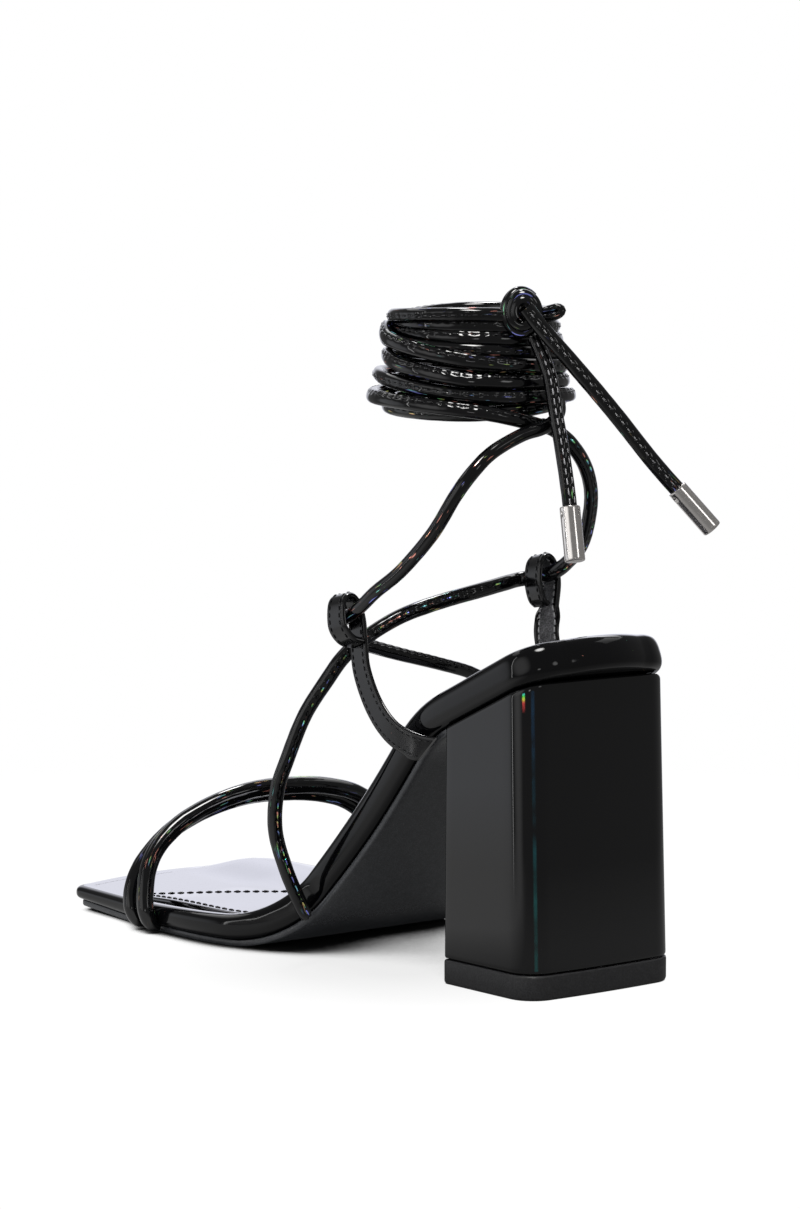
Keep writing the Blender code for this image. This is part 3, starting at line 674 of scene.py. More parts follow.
def nickel(name):
    """Polished nickel with faint smears."""
    made, tree, shader = new_material(name, Metallic=1.0, IOR=1.5)
    mottle = lay_grain(tree, shader, *NICKEL_TONES, NICKEL_SCALE, NICKEL_RELIEF, GRAIN_DEPTH / 2)
    wire(tree, shader, Roughness=ranged(tree, mottle, 0.0, 1.0, *NICKEL_ROUGHNESS))
    return made


RIM_PATENT = patent("rim_patent", 0.3, streak_scale=0.6, patch_scale=0.04, Specular_IOR_Level=0.3)
# corner=True lays painted highlights round the heel's back corner into its base colour.
HEEL_PATENT = patent("heel_patent", 0.0, peel=0.3, dullness=0.05, corner=True)
SOCK_PATENT = patent("sock_patent", 0.0, peel=0.3, dullness=0.07, tint=(0.9, 0.91, 1), Coat_Weight=1.0,
                     Coat_IOR=1.6, Coat_Roughness=0.04, Coat_Tint=(0.95, 0.95, 1, 1))
# On cords the streaks also glow a little: painted glints.
CORD_PATENT = patent("cord_patent", 0.86, streak_scale=1.8, patch_scale=0.14, peel_scale=1.1, peel=1.0,
                     on_cord=True, Emission_Strength=0.25)
# For the inner lace's stitches: dense, glowing rainbow streaks, painted glints along its seam.
SEAM_GLINT_STREAKS = patent("seam_painted_glints", 2.6, streak_scale=0.7, patch_scale=0.22, Emission_Strength=0.25)
STRAP_PATENT = patent("strap_patent", 0.3, peel=0.8, dullness=0.3)
OUTSOLE_RUBBER = grained("outsole_rubber", (0.036, 0.038, 0.042), (0.11, 0.115, 0.125), 0.24, 2.6, 0.03,
                         IOR=1.45)
LIFT_RUBBER = grained("lift_rubber", (0.010, 0.010, 0.011), (0.034, 0.034, 0.037), 0.5, 1.6, 0.25)
STRAP_LINING = grained("strap_lining", (0.02, 0.02, 0.022), (0.5, 0.5, 0.53), 0.3, 2.2, 0.7)
BLACK_THREAD = grained("black_thread", (0.006, 0.006, 0.007), (0.03, 0.03, 0.033), 0.16, 5.0, 0.3)
SEAM_THREAD = grained("seam_thread", (0.01, 0.01, 0.011), (0.12, 0.12, 0.125), 0.14, 0.6, 0.2)
# Thread for the long lace end: its light mottled tone is painted highlight, standing in for the stitches'
# glints.
PAINTED_GLINT_THREAD = grained("painted_glint_thread", (0.2, 0.2, 0.21), (1.0, 1.0, 1.0), 0.12, 0.9, 0.2)
# Pale thread: the outer strap's own pale stitches, and on the short lace end a painted highlight for the
# stitches' glints.
PALE_THREAD = grained("pale_thread", (0.5, 0.5, 0.52), (0.95, 0.95, 0.97), 0.3, 5.0, 0.3)
TIP_NICKEL = nickel("tip_nickel")


# Plates cut to an outline: footbed, outsole, sock, heel and top lift

def corner_cut(distance, radius):
    """How far a round corner takes the side in, at a distance from the end."""
    if distance >= radius:
        return 0.0
    return radius - math.sqrt(max(radius**2 - (radius - distance) ** 2, 0.0))


def stations(start, end, first_corner, last_corner, spacing=STATION, corner_count=9):
    """Distances from end to end, close together round the two corners."""
    turns = [math.radians(90 * k / corner_count) for k in range(corner_count + 1)]
    first = [start + first_corner * (1 - math.cos(t)) for t in turns] if first_corner else [start]
    last = [end - last_corner * (1 - math.cos(t)) for t in reversed(turns)] if last_corner else [end]
    count = max(2, round((last[0] - first[-1]) / spacing))
    between = [first[-1] + (last[0] - first[-1]) * k / count for k in range(1, count)]
    return first + between + last


def loop_of(left, right, front_bow, back_bow, ends):
    """One closed outline from the left and right rows, with its two ends bowed outwards."""

    def end(a, b, bow):
        shares = [k / (ends + 1) for k in range(1, ends + 1)]
        return [(a[0] + (b[0] - a[0]) * t + bow * 4 * t * (1 - t), a[1] + (b[1] - a[1]) * t) for t in shares]

    return left + end(left[-1], right[-1], back_bow) + right[::-1] + end(right[0], left[0], -front_bow)


def inset_loop(loop, depth):
    """The outline moved inwards."""
    made = []
    for k, (a, b) in enumerate(loop):
        side = (Vector(loop[(k + 1) % len(loop)]) - Vector(loop[k - 1])).normalized()
        made.append((a + side.y * depth, b - side.x * depth))
    return made


def plate(left, right, bows, levels, place, ends=22, row_of=None, top_row=0):
    """A closed plate: rings of the outline at each level, and a grid over the bottom and the top."""
    shape = Shape()
    loop = loop_of(left, right, *bows, ends)
    flats = [inset_loop(loop, depth) if depth else loop for depth, _ in levels]
    rings = [[place(a, b, height) for a, b in flat] for flat, (_, height) in zip(flats, levels)]
    start = shape.skin(rings, capped=False, row_of=row_of)
    rows, columns, total = len(left), ends + 2, len(loop)
    span = left[-1][0] - left[0][0]
    for level in (0, len(levels) - 1):
        flat, height, first = flats[level], levels[level][1], start + level * total
        flat = [Vector(p) for p in flat]

        def edge(i, j):
            if j == 0:
                return i
            if j == columns - 1:
                return rows + ends + (rows - 1 - i)
            if i == rows - 1:
                return rows + j - 1
            if i == 0:
                return 2 * rows + ends + (columns - 2 - j)
            return None

        grid = []
        for i in range(rows):
            u = (left[i][0] - left[0][0]) / span
            line = []
            for j in range(columns):
                v = j / (columns - 1)
                if edge(i, j) is not None:
                    line.append(first + edge(i, j))
                    continue
                sides = flat[edge(i, 0)].lerp(flat[edge(i, columns - 1)], v)
                tips = flat[edge(0, j)].lerp(flat[edge(rows - 1, j)], u)
                low = flat[edge(0, 0)].lerp(flat[edge(0, columns - 1)], v)
                high = flat[edge(rows - 1, 0)].lerp(flat[edge(rows - 1, columns - 1)], v)
                at = sides + tips - low.lerp(high, u)
                line.append(len(shape.points))
                shape.points.append(place(at.x, at.y, height))
            grid.append(line)
        for i in range(rows - 1):
            for j in range(columns - 1):
                corners = (grid[i][j], grid[i][j + 1], grid[i + 1][j + 1], grid[i + 1][j])
                shape.face(corners, top_row if level else 0)
    return shape, loop


def sides_of(rows, inset, cut):
    """Left and right rows of the footbed's outline, taken in by an inset and by a cut at each row."""
    left = [(along, smooth(FOOTBED, "medial", along) - inset - cut(along)) for along in rows]
    right = [(along, -(smooth(FOOTBED, "lateral", along) - inset - cut(along))) for along in rows]
    return left, right


def softened(low, high, under, over):
    """A plate's levels, from tables of (inset, distance from that face) for its lower and upper edge."""
    return [(inset, low + rise) for inset, rise in under] + [(inset, high - drop) for inset, drop in over]


def sock_front(x):
    """Where the sock's slanted front edge lies along the footbed, for an x."""
    return SOCK_START - SOCK_SKEW * x


def sock_dip(along):
    return SOCK_DIP * eased(along, *SOCK_DIP_FROM_TO)


def edge_distance(along, x):
    """How far a point of the blank is from the footbed's outline, rounded off in the corners."""
    half = smooth(FOOTBED, "medial" if x > 0 else "lateral", along)
    bow = 1 - min(abs(x) / half, 1.0) ** 2
    ends = min(along + TOE_BOW * bow, FOOTBED_LENGTH - along + HEEL_BOW * bow)
    side = half - abs(x)
    return min(side, ends) - max(CROWN_RAMP - abs(side - ends), 0.0) ** 2 / (4 * CROWN_RAMP)


def pad_crown(along, x):
    """How far the padding stands above the rim: high at the toe, low towards the heel, nothing at the rim."""
    inside = min(max((edge_distance(along, x) - RIM_ROLL) / CROWN_RAMP, 0.0), 1.0)
    behind = eased(along, sock_front(x), sock_front(x) + CROWN_FADE)
    toe = PAD_CROWN * eased(-x, *CROWN_FROM_TO)
    return (toe + (SOCK_CROWN - toe) * behind) * (1 - (1 - inside) ** 2)


RIM_STEP = 12  # degrees from one ring of the rim to the next
BedRing = namedtuple("BedRing", "inset sunk")
SOCK_BED = [
    BedRing(4.4, 0.06), BedRing(5.2, 0.3), BedRing(5.9, 0.8), BedRing(6.3, 0.95), BedRing(6.5, DISH_DEPTH)
]
BED_EDGE = (1.5, 4.5)  # where the bed's front edge falls, behind the sock's front
PAD_FILM_RINGS = (2, 5)  # rings of the rim that the pad's film covers, on the inner and the outer side
LACE_PINCH_AT = 122.5  # where the laces are drawn in under the rim, along the footbed
LACE_PINCH = 1.5
LACE_PINCH_REACH = 4.0
LACE_PINCH_LEVEL = 0.3
LACE_PINCH_SPREAD = 0.4


def make_footbed():
    """Padded footbed: a squarish rolled rim pinched at the laces, a crowned toe part and the sock's bed."""

    def cut(along):
        return corner_cut(along, TOE_CORNER) + corner_cut(FOOTBED_LENGTH - along, HEEL_CORNER)

    left, right = sides_of(stations(0, FOOTBED_LENGTH, TOE_CORNER, HEEL_CORNER), 0.0, cut)
    levels = []
    power = 2 / RIM_SQUARENESS
    for turn in range(-90, 91, RIM_STEP):
        angle = math.radians(turn)
        rise = math.copysign(abs(math.sin(angle)) ** power, angle)
        levels.append((RIM_ROLL * (1 - max(math.cos(angle), 0.0) ** power), ((1 + rise) / 2, 0.0)))
    rim_rings = len(levels)
    levels += [(ring.inset, (1.0, ring.sunk)) for ring in SOCK_BED]

    def place(along, x, level):
        share, sunk = level
        height = share * footbed_top(along)
        if share == 1.0:
            bed = eased(along, sock_front(x) + BED_EDGE[0], sock_front(x) + BED_EDGE[1])
            height += pad_crown(along, x) * (1 - bed) - sunk * bed * (1 + sock_dip(along) / DISH_DEPTH)
        if x and edge_distance(along, x) < DISH_DEPTH + RIM_ROLL:
            near = bell(along - LACE_PINCH_AT, LACE_PINCH_REACH)
            near *= bell(share - LACE_PINCH_LEVEL, LACE_PINCH_SPREAD)
            x -= math.copysign(LACE_PINCH * near, x)
        return bent(along, x, height)

    def finish(level, place):
        covered = PAD_FILM_RINGS[0 if place < len(left) else 1]
        return 1 if level >= rim_rings - covered else 0

    shape, _ = plate(left, right, (TOE_BOW, HEEL_BOW), levels, place, row_of=finish, top_row=1)
    return shape.make("footbed_wrapped", [RIM_PATENT, SOCK_PATENT], "footbed_patent", ["footbed"], sharp=60)


OUTSOLE_UNDER_EDGE = [(0.7, 0.0), (0.25, 0.12), (0.0, 0.5)]
OUTSOLE_OVER_EDGE = [(0.0, 0.45), (0.12, 0.15), (0.5, 0.0)]


def make_outsole():
    """Thin outsole under the tread and arch, with a soft edge."""
    corner = TOE_CORNER - OUTSOLE_INSET

    def cut(along):
        return corner_cut(along - OUTSOLE_INSET, corner)

    pitch = on_last(along_at(HEEL_FRONT))[2]
    end = along_at(HEEL_FRONT - GAP - (OUTSOLE_THICKNESS + GAP) * math.sin(pitch))
    left, right = sides_of(stations(OUTSOLE_INSET, end, corner, 0.0), OUTSOLE_INSET, cut)
    levels = softened(-GAP - OUTSOLE_THICKNESS, -GAP, OUTSOLE_UNDER_EDGE, OUTSOLE_OVER_EDGE)
    shape, _ = plate(left, right, (TOE_BOW, 0.0), levels, bent)
    return shape.make("outsole_moulded", [OUTSOLE_RUBBER], "outsole", ["outsole"])


STITCH_SHAPE = (0.0, 0.12, 0.35, 0.65, 0.88, 1.0)  # places along a stitch
STITCH_ARCH = 2.4  # how deep its ends dip, in radii


def stitches_along(shape, points, normals, pitch, length, radius, row):
    """A row of stitches laid on a line of points, each a low arch of thread that dips in at its ends."""
    reach = [0.0]
    for a, b in zip(points, points[1:]):
        reach.append(reach[-1] + (b - a).length)

    def at(distance):
        k = 0
        while k < len(reach) - 2 and reach[k + 1] < distance:
            k += 1
        t = (distance - reach[k]) / max(reach[k + 1] - reach[k], 1e-6)
        return points[k].lerp(points[k + 1], t), normals[k].lerp(normals[k + 1], t).normalized()

    place = pitch / 2
    while place + length < reach[-1]:
        line = []
        for share in STITCH_SHAPE:
            point, up = at(place + share * length)
            line.append(point + up * radius * (1.0 - STITCH_ARCH * (2 * share - 1) ** 6))
        shape.thread(line, radius, row)
        place += pitch


SOCK_FRONT_CORNER = 2.0
SOCK_BACK_BOW = 1.5
SOCK_EDGE = [
    (0.0, 0.0), (0.0, 0.5), (0.15, 0.8), (0.5, 0.97), (1.2, 1.02), (1.9, 0.98), (SOCK_SEAM, 0.86), (2.9, 0.98)
]  # inset and share of the thickness
SOCK_STITCH = 3.0
SOCK_STITCH_LENGTH = 2.3
SOCK_THREAD = 0.28
SOCK_THREAD_LEVEL = 0.9


def make_sock():
    """Insole sock: soft edges, a low crown and a stitch row round its edge."""
    end = FOOTBED_LENGTH - SOCK_INSET

    def cut(along):
        return corner_cut(along - SOCK_START, SOCK_FRONT_CORNER) + corner_cut(end - along, SOCK_END_CORNER)

    def slanted(point):
        along, x = point
        fade = max(0.0, 1 - (along - SOCK_START) / SOCK_SKEW_FADE) ** 2
        return along - SOCK_SKEW * x * fade, x

    def place(along, x, share):
        bed = footbed_top(along) - DISH_DEPTH - sock_dip(along) + SOCK_GAP
        return bent(along, x, bed + share * SOCK_THICKNESS + pad_crown(along, x))

    left, right = sides_of(stations(SOCK_START, end, SOCK_FRONT_CORNER, SOCK_END_CORNER), SOCK_INSET, cut)
    left, right = [slanted(p) for p in left], [slanted(p) for p in right]
    shape, loop = plate(left, right, (0.0, SOCK_BACK_BOW), SOCK_EDGE, place)
    seam = inset_loop(loop, SOCK_SEAM)
    seam.append(seam[0])
    points = [place(a, b, SOCK_THREAD_LEVEL) for a, b in seam]
    pitches = [on_last(a)[2] for a, _ in seam]
    normals = [Vector((0, -math.sin(pitch), math.cos(pitch))) for pitch in pitches]
    stitches_along(shape, points, normals, SOCK_STITCH, SOCK_STITCH_LENGTH, SOCK_THREAD, 1)
    sock = shape.make("insole_sock_padded", [SOCK_PATENT, BLACK_THREAD], "sock", ["insole_sock"], sharp=60)
    return sock


HEEL_BACK_BOW = 0.6
HEEL_ENDS = 16  # columns of faces across the heel
HEEL_FOOT_EDGE = [(0.9, 0.0), (0.3, 0.0016), (0.08, 0.005), (0.0, 0.011), (0.0, 0.02)]
HEEL_SEAT_EDGE = [(0.0, 0.025), (0.0, 0.016), (0.12, 0.009), (0.45, 0.003), (1.1, 0.0)]
LIFT_UNDER_EDGE = [(0.9, 0.0), (0.35, 0.2), (0.1, 0.55), (0.0, 1.0)]
LIFT_OVER_EDGE = [(0.0, 0.8), (0.12, 0.35), (0.5, 0.06), (0.9, 0.0)]


def heel_plate(proud, levels, place):
    """A plate of the heel's plan, made larger all round by proud."""
    front, back = HEEL_FRONT - proud, HEEL_FOOT_BACK + proud

    def cut(y):
        return corner_cut(y - front, HEEL_BREAST_ROUND) + corner_cut(back - y, HEEL_ROUND)

    rows = stations(front, back, HEEL_BREAST_ROUND, HEEL_ROUND, corner_count=12)
    left = [(y, HEEL_MEDIAL + proud - cut(y)) for y in rows]
    right = [(y, -(HEEL_LATERAL + proud - cut(y))) for y in rows]
    return plate(left, right, (0.0, HEEL_BACK_BOW), levels, place, ends=HEEL_ENDS)[0]


def make_heel():
    """Wrapped block heel: the film turns over soft top and bottom edges."""
    depth = HEEL_FOOT_BACK - HEEL_FRONT
    narrowing = 1 - HEEL_WAIST * 2 / (HEEL_MEDIAL + HEEL_LATERAL)

    def place(y, x, share):
        top_y = y - HEEL_LEAN * (y - HEEL_FRONT) / depth
        _, seat_z, pitch = on_last(along_at(top_y))
        foot = Vector((x, y, LIFT_HEIGHT + GAP))
        top = Vector((x * narrowing, top_y, seat_z - GAP / math.cos(pitch)))
        return foot.lerp(top, share)

    wall = [(0.0, tenth / 10) for tenth in range(1, 10)]
    shape = heel_plate(0.0, softened(0.0, 1.0, HEEL_FOOT_EDGE + wall, HEEL_SEAT_EDGE), place)
    return shape.make("heel_block_wrapped", [HEEL_PATENT], "heel_patent", ["heel_block"])


def make_top_lift():
    """Rubber top lift with bevelled edges."""
    levels = softened(0.0, LIFT_HEIGHT, LIFT_UNDER_EDGE, LIFT_OVER_EDGE)
    shape = heel_plate(LIFT_PROUD, levels, lambda y, x, height: Vector((x, y, height)))
    return shape.make("heel_top_lift_rubber", [LIFT_RUBBER], "top_lift", ["heel_top_lift"])


# Cords and laces: a strip of film folded round a core and sewn along its edge

def curve_through(points, count):
    """Points on a smooth curve through a route, count to each of its spans."""
    made = []
    last = len(points) - 1
    for k in range(last):
        p0, p1 = points[max(k - 1, 0)], points[k]
        p2, p3 = points[k + 1], points[min(k + 2, last)]
        for j in range(count):
            t = j / count
            far = (2 * p0 - 5 * p1 + 4 * p2 - p3) * t**2 + (3 * p1 - p0 - 3 * p2 + p3) * t**3
            made.append(0.5 * (2 * p1 + (p2 - p0) * t + far))
    return made + [points[-1]]


def evenly(path, step):
    """The path with its points an even step apart."""
    reach = [0.0]
    for a, b in zip(path, path[1:]):
        reach.append(reach[-1] + (b - a).xyz.length)
    count = max(4, round(reach[-1] / step))
    made, k = [], 0
    for n in range(count + 1):
        want = reach[-1] * n / count
        while k < len(path) - 2 and reach[k + 1] < want:
            k += 1
        made.append(path[k].lerp(path[k + 1], (want - reach[k]) / max(reach[k + 1] - reach[k], 1e-9)))
    return made, reach[-1]


SEAM_ANGLES = [
    -180, -156, -132, -110, -90, -72, -56, -42, -30, -20, -12, -5, 1, 7, 13, 19, 25, 29, 31, 37, 48, 64, 84,
    106, 130, 155,
]  # places round a cord, close together at its seam
LIP_ANGLE = 30.0  # where the folded strip's edge lies, from the seam's facing
LIP = 0.15  # how far the edge stands up, in radii
LIP_SPREAD = 42.0
LIP_HELD = 0.35  # how much of the edge a stitch holds down
STITCH_ANGLE = 6.0
STITCH_LENGTH = 0.74  # of the pitch
STITCH_RADIUS = 0.21
SEAM_DEPTH = 0.93  # where the stitch row lies, in radii
PULL = 0.17  # the dent that a stitch pulls in, in radii
PULL_SPREAD = 15.0
GROOVE = 0.05  # the groove along a stitch row, in radii
GROOVE_SPREAD = 10.0
Crease = namedtuple("Crease", "depth round along")
FOLD = Crease(0.035, 1.3, 0.07)
FINE_FOLD = Crease(0.0175, 2.4, 0.35)


def creased(crease, turn, distance, seed_x, seed_y):
    """How far a crease takes the film in or out at a place of the cord."""
    x, y = math.cos(turn) * crease.round + seed_x, math.sin(turn) * crease.round + seed_y
    return crease.depth * noise.noise(Vector((x, y, distance * crease.along)))


def cord_rings(path, facing, width, thick, stitched, seed, lip_side):
    """Rings of a sewn cord, each point's place on it, and each ring's (point, out, side, size).

    facing(share, point, way) is the side that its seam shows to."""
    rings, places, stays = [], [], []
    distance = 0.0
    for k, point in enumerate(path):
        if k:
            distance += (point - path[k - 1]).xyz.length
        way = (path[min(k + 1, len(path) - 1)] - path[max(k - 1, 0)]).xyz.normalized()
        out = facing(k / (len(path) - 1), point.xyz, way)
        out = (out - way * out.dot(way)).normalized()
        side = way.cross(out) * lip_side
        size = min(point.w, 1.0)
        phase = distance / LACE_STITCH * 2 * math.pi
        pulled = (0.5 + 0.5 * math.cos(phase)) ** 3 if stitched else 0.0
        ring = []
        for angle in SEAM_ANGLES:
            turn = math.radians(angle)
            grow = 1.0
            if angle < LIP_ANGLE:
                grow += LIP * bell(angle - LIP_ANGLE, LIP_SPREAD) * (1.0 - LIP_HELD * pulled)
            if stitched:
                grow -= PULL * pulled * bell(angle - STITCH_ANGLE, PULL_SPREAD)
                grow -= GROOVE * bell(angle - STITCH_ANGLE, GROOVE_SPREAD)
            grow += creased(FOLD, turn, distance, seed, 0.0) + creased(FINE_FOLD, turn, distance, 0.0, seed)
            deep, wide = math.cos(turn) * thick / 2, math.sin(turn) * width / 2
            places.append(Vector((deep, wide, distance + 100 * seed)))
            ring.append(point.xyz + (out * deep * size + side * wide * size) * grow)
        rings.append(ring)
        stays.append((point.xyz, out, side, size))
    return rings, places, stays


def sewn_cord(shape, route, facing, width, thick, stitch_angles=(STITCH_ANGLE,), seed=0.0, step=LACE_STEP,
              even=False, lip_side=1):
    """Adds a sewn cord along a route of (x, y, z, size), and a stitch row at each angle: (length, path)."""
    path = route if even else curve_through([Vector(p) for p in route], ROUTE_STEPS)
    path, length = evenly(path, step)
    rings, places, stays = cord_rings(path, facing, width, thick, bool(stitch_angles), seed, lip_side)
    first = shape.skin(rings)
    shape.places.update((first + k, place) for k, place in enumerate(places))
    for angle in stitch_angles:
        turn = math.radians(angle)
        normals = [(out * math.cos(turn) + side * math.sin(turn)).normalized() for _, out, side, _ in stays]
        points = [stay[0] + up * thick / 2 * stay[3] * SEAM_DEPTH for stay, up in zip(stays, normals)]
        stitches_along(shape, points, normals, LACE_STITCH, LACE_STITCH * STITCH_LENGTH, STITCH_RADIUS, 1)
    return length, path


def towards(x, y, z, twist=0.0):
    """A seam that faces one way, and turns round the cord by some degrees from end to end."""
    aim = Vector((x, y, z)).normalized()

    def facing(share, point, way):
        out = (aim - way * aim.dot(way)).normalized()
        turn = math.radians(twist) * share
        return out * math.cos(turn) + way.cross(out) * math.sin(turn)

    return facing


TOE_SEAM_LEVEL = 2.0  # height that the toe cords' seams face down to, in the middle
TOE_SEAM_BACK = 22.0


def make_toe_straps():
    def facing(share, point, way):
        return Vector((-point.x, TOE_SEAM_BACK, TOE_SEAM_LEVEL - point.z))

    for name, route, seed in (("front", TOE_STRAP_FRONT, 1.0), ("rear", TOE_STRAP_REAR, 2.0)):
        shape = Shape()
        sewn_cord(shape, route, facing, TOE_CORD, TOE_CORD, (), seed)
        shape.make("toe_strap_%s_cord" % name, [CORD_PATENT], "cord_patent", ["toe_strap_" + name])


VampLace = namedtuple("VampLace", "name route facing wider thicker seed lip_side thread")
VAMP_LACES = [
    VampLace("inner", LACE_FROM_INNER_SIDE, towards(0.12, 0.9, 0.25), 0.7, 0.1, 3.0, -1, SEAM_GLINT_STREAKS),
    VampLace("outer", LACE_FROM_OUTER_SIDE, towards(0.5, 0.75, -0.5, 180), 0.2, -0.1, 4.0, 1, SEAM_THREAD),
]


def make_vamp_laces():
    for lace in VAMP_LACES:
        shape = Shape()
        sewn_cord(shape, lace.route, lace.facing, LACE + lace.wider, LACE + lace.thicker, seed=lace.seed,
                  lip_side=lace.lip_side)
        shape.make("vamp_lace_" + lace.name, [CORD_PATENT, lace.thread], "cord_patent", ["vamp_laces"])


WRAP_STEP = 4  # degrees from one point of the coil to the next
INNER_STEP = 5
CLOSED_AT = 38  # where the inner turns close, facing the camera
SEAM_TILT = 0.3  # how far the coil's seam faces upwards, and how far that wanders
SEAM_WANDER = 0.5
SEAM_WANDER_RATE = 37.0


def round_ankle(angle, radius, height):
    """A point of the coil."""
    turn = math.radians(angle)
    x, y = WRAP_CENTRE[0] + radius * math.sin(turn), WRAP_CENTRE[1] + radius * math.cos(turn)
    return Vector((x, y, height, 1.0))


def make_ankle_wrap():
    """The turns of lace round the ankle, with the crossings of the photograph."""

    def facing(share, point, way):
        radial = Vector((point.x - WRAP_CENTRE[0], point.y - WRAP_CENTRE[1], 0)).normalized()
        return radial + Vector((0, 0, SEAM_WANDER * math.sin(share * SEAM_WANDER_RATE) + SEAM_TILT))

    first, last = WRAP[0].angle, WRAP[-1].angle
    count = round((last - first) / WRAP_STEP)
    angles = [first + (last - first) * k / count for k in range(count + 1)]
    path = [round_ankle(at, smooth(WRAP, "radius", at), smooth(WRAP, "height", at)) for at in angles]
    shape = Shape()
    sewn_cord(shape, path, facing, COIL_WIDTH, COIL_THICKNESS, seed=5.0, step=COIL_STEP, even=True)
    for number, ring in enumerate(INNER_TURNS):
        heights = (ring.far, ring.right, ring.near, ring.left)
        quarters = [Turn(90 * k - 142, ring.radius, heights[k % 4]) for k in range(-1, 8)]
        angles = range(CLOSED_AT, CLOSED_AT + 361, INNER_STEP)
        path = [round_ankle(at, ring.radius, smooth(quarters, "height", at)) for at in angles]
        sewn_cord(shape, path, facing, LACE, INNER_TURN_THICKNESS, seed=11.0 + number, step=INNER_TURN_STEP,
                  even=True)
    return shape.make("ankle_wrap_lace", [CORD_PATENT, SEAM_THREAD], "cord_patent", ["ankle_wrap"])


KNOT_POINTS = 180
KNOT_START = 0.8  # radians at which its strand starts
KNOT_TIGHTENS = 0.66  # how much smaller its last turn is
KNOT_STARTS_BEHIND = 0.14  # share of its strand that comes out from behind
KNOT_LIFT = (-0.9, 2.3)  # where its strand starts, and how far it comes out the way the knot faces
KNOT_TUCK = 1.8
KNOT_THINS = 0.6
LoopPoint = namedtuple("LoopPoint", "across forward up")
KNOT_LOOP = [
    LoopPoint(-0.5, -2.5, 0.5), LoopPoint(3.0, -3.0, 0.2), LoopPoint(7.0, -3.0, 0.7),
    LoopPoint(10.2, -2.6, 1.4), LoopPoint(11.4, -2.2, 0.4), LoopPoint(10.0, -2.0, -0.9),
    LoopPoint(6.6, -2.2, -1.7), LoopPoint(3.0, -2.8, -2.3), LoopPoint(0.4, -3.2, -3.0),
]
KNOT_LOOP_SIZE = 0.62  # of the lace's


def make_knot():
    """The knot: oval turns at the back of the ankle, and a folded loop end beside it."""
    forward = Vector(heading(KNOT_FACES, 0))
    across = Vector((-forward.y, forward.x, 0))
    upwards = Vector((0, 0, 1))
    path = []
    for k in range(KNOT_POINTS + 1):
        share = k / KNOT_POINTS
        turn = 2 * math.pi * KNOT_TURNS * share + KNOT_START
        hidden = 1 - eased(share, 0.0, KNOT_STARTS_BEHIND)
        oval = across * KNOT_HALF_WIDTH * math.cos(turn) + upwards * KNOT_HALF_HEIGHT * math.sin(turn)
        lift = KNOT_LIFT[0] + KNOT_LIFT[1] * share - KNOT_TUCK * hidden
        point = KNOT_AT + oval * (1.0 - KNOT_TIGHTENS * share) + forward * lift
        path.append(Vector((*point, 1 - KNOT_THINS * hidden)))

    def facing(share, point, way):
        return (point - KNOT_AT) + forward * KNOT_LOOKS_BACK

    shape = Shape()
    sewn_cord(shape, path, facing, KNOT_STRAND, KNOT_STRAND, (), 6.0, FINE_STEP, even=True)
    loop = [KNOT_AT + across * p.across + forward * p.forward + upwards * p.up for p in KNOT_LOOP]
    route = [(*point, KNOT_LOOP_SIZE) for point in loop]
    sewn_cord(shape, route, towards(0.6, 0.7, 0.4), LACE, KNOT_LOOP_THICKNESS, seed=7.0)
    return shape.make("lace_knot_turns", [CORD_PATENT, BLACK_THREAD], "cord_patent", ["lace_knot"])


TIP_OUTER = TIP_DIAMETER / 2
TIP_INNER = TIP_BORE / 2
TIP_SIDES = 64
TipRing = namedtuple("TipRing", "radius depth")
TIP_MOUTH = [
    TipRing(TIP_INNER, TIP_SOCKET), TipRing(TIP_INNER, 0.35), TipRing(TIP_INNER + 0.12, 0.1),
    TipRing(TIP_INNER + 0.3, 0.0), TipRing(TIP_OUTER - 0.3, 0.0), TipRing(TIP_OUTER - 0.08, 0.1),
    TipRing(TIP_OUTER, 0.35),
]
TIP_WALL = [TipRing(TIP_OUTER, 0.6 + 0.25 * k) for k in range(16)]
TIP_WALL += [TipRing(TIP_OUTER, 5.0 + 0.9 * k) for k in range(12)]
TIP_END = [
    TipRing(TIP_OUTER, TIP_LENGTH - 0.55), TipRing(TIP_OUTER - 0.06, TIP_LENGTH - 0.3),
    TipRing(TIP_OUTER - 0.22, TIP_LENGTH - 0.09), TipRing(TIP_OUTER - 0.5, TIP_LENGTH),
    TipRing(TIP_OUTER - 1.4, TIP_LENGTH), TipRing(0.5, TIP_LENGTH - 0.02),
]
DIMPLE_TURN = 62.0  # from the side that faces the camera
DIMPLE_RISE = Vector((0, 0, 0.05))
DIMPLE_AT = 2.1  # from the tip's mouth
DIMPLE_DEPTH = 0.55
DIMPLE_SPREAD = 0.62


def make_tip(name, route, node):
    """Turned metal tip: thimble with a rolled mouth, a flat end and a crimp dimple near the mouth."""
    end = Vector(route[-1][:3])
    way = (end - Vector(route[-2][:3])).normalized()
    origin = end - way * (TIP_SOCKET - GAP)
    view = Vector(heading(CAMERA_HEADING, 0)) + DIMPLE_RISE
    one = (view - way * view.dot(way)).normalized()
    other = way.cross(one)
    rings = []
    for radius, depth in TIP_MOUTH + TIP_WALL + TIP_END:
        ring = []
        for k in range(TIP_SIDES):
            turn = 2 * math.pi * k / TIP_SIDES
            off = (turn - math.radians(DIMPLE_TURN) + math.pi) % (2 * math.pi) - math.pi
            away = math.hypot(off * TIP_OUTER, depth - DIMPLE_AT)
            size = radius - (DIMPLE_DEPTH * bell(away, DIMPLE_SPREAD) if radius == TIP_OUTER else 0.0)
            ring.append(origin + (one * math.cos(turn) + other * math.sin(turn)) * size + way * depth)
        rings.append(ring)
    shape = Shape()
    shape.skin(rings)
    return shape.make(name, [TIP_NICKEL], "tip_metal", [node], sharp=35)


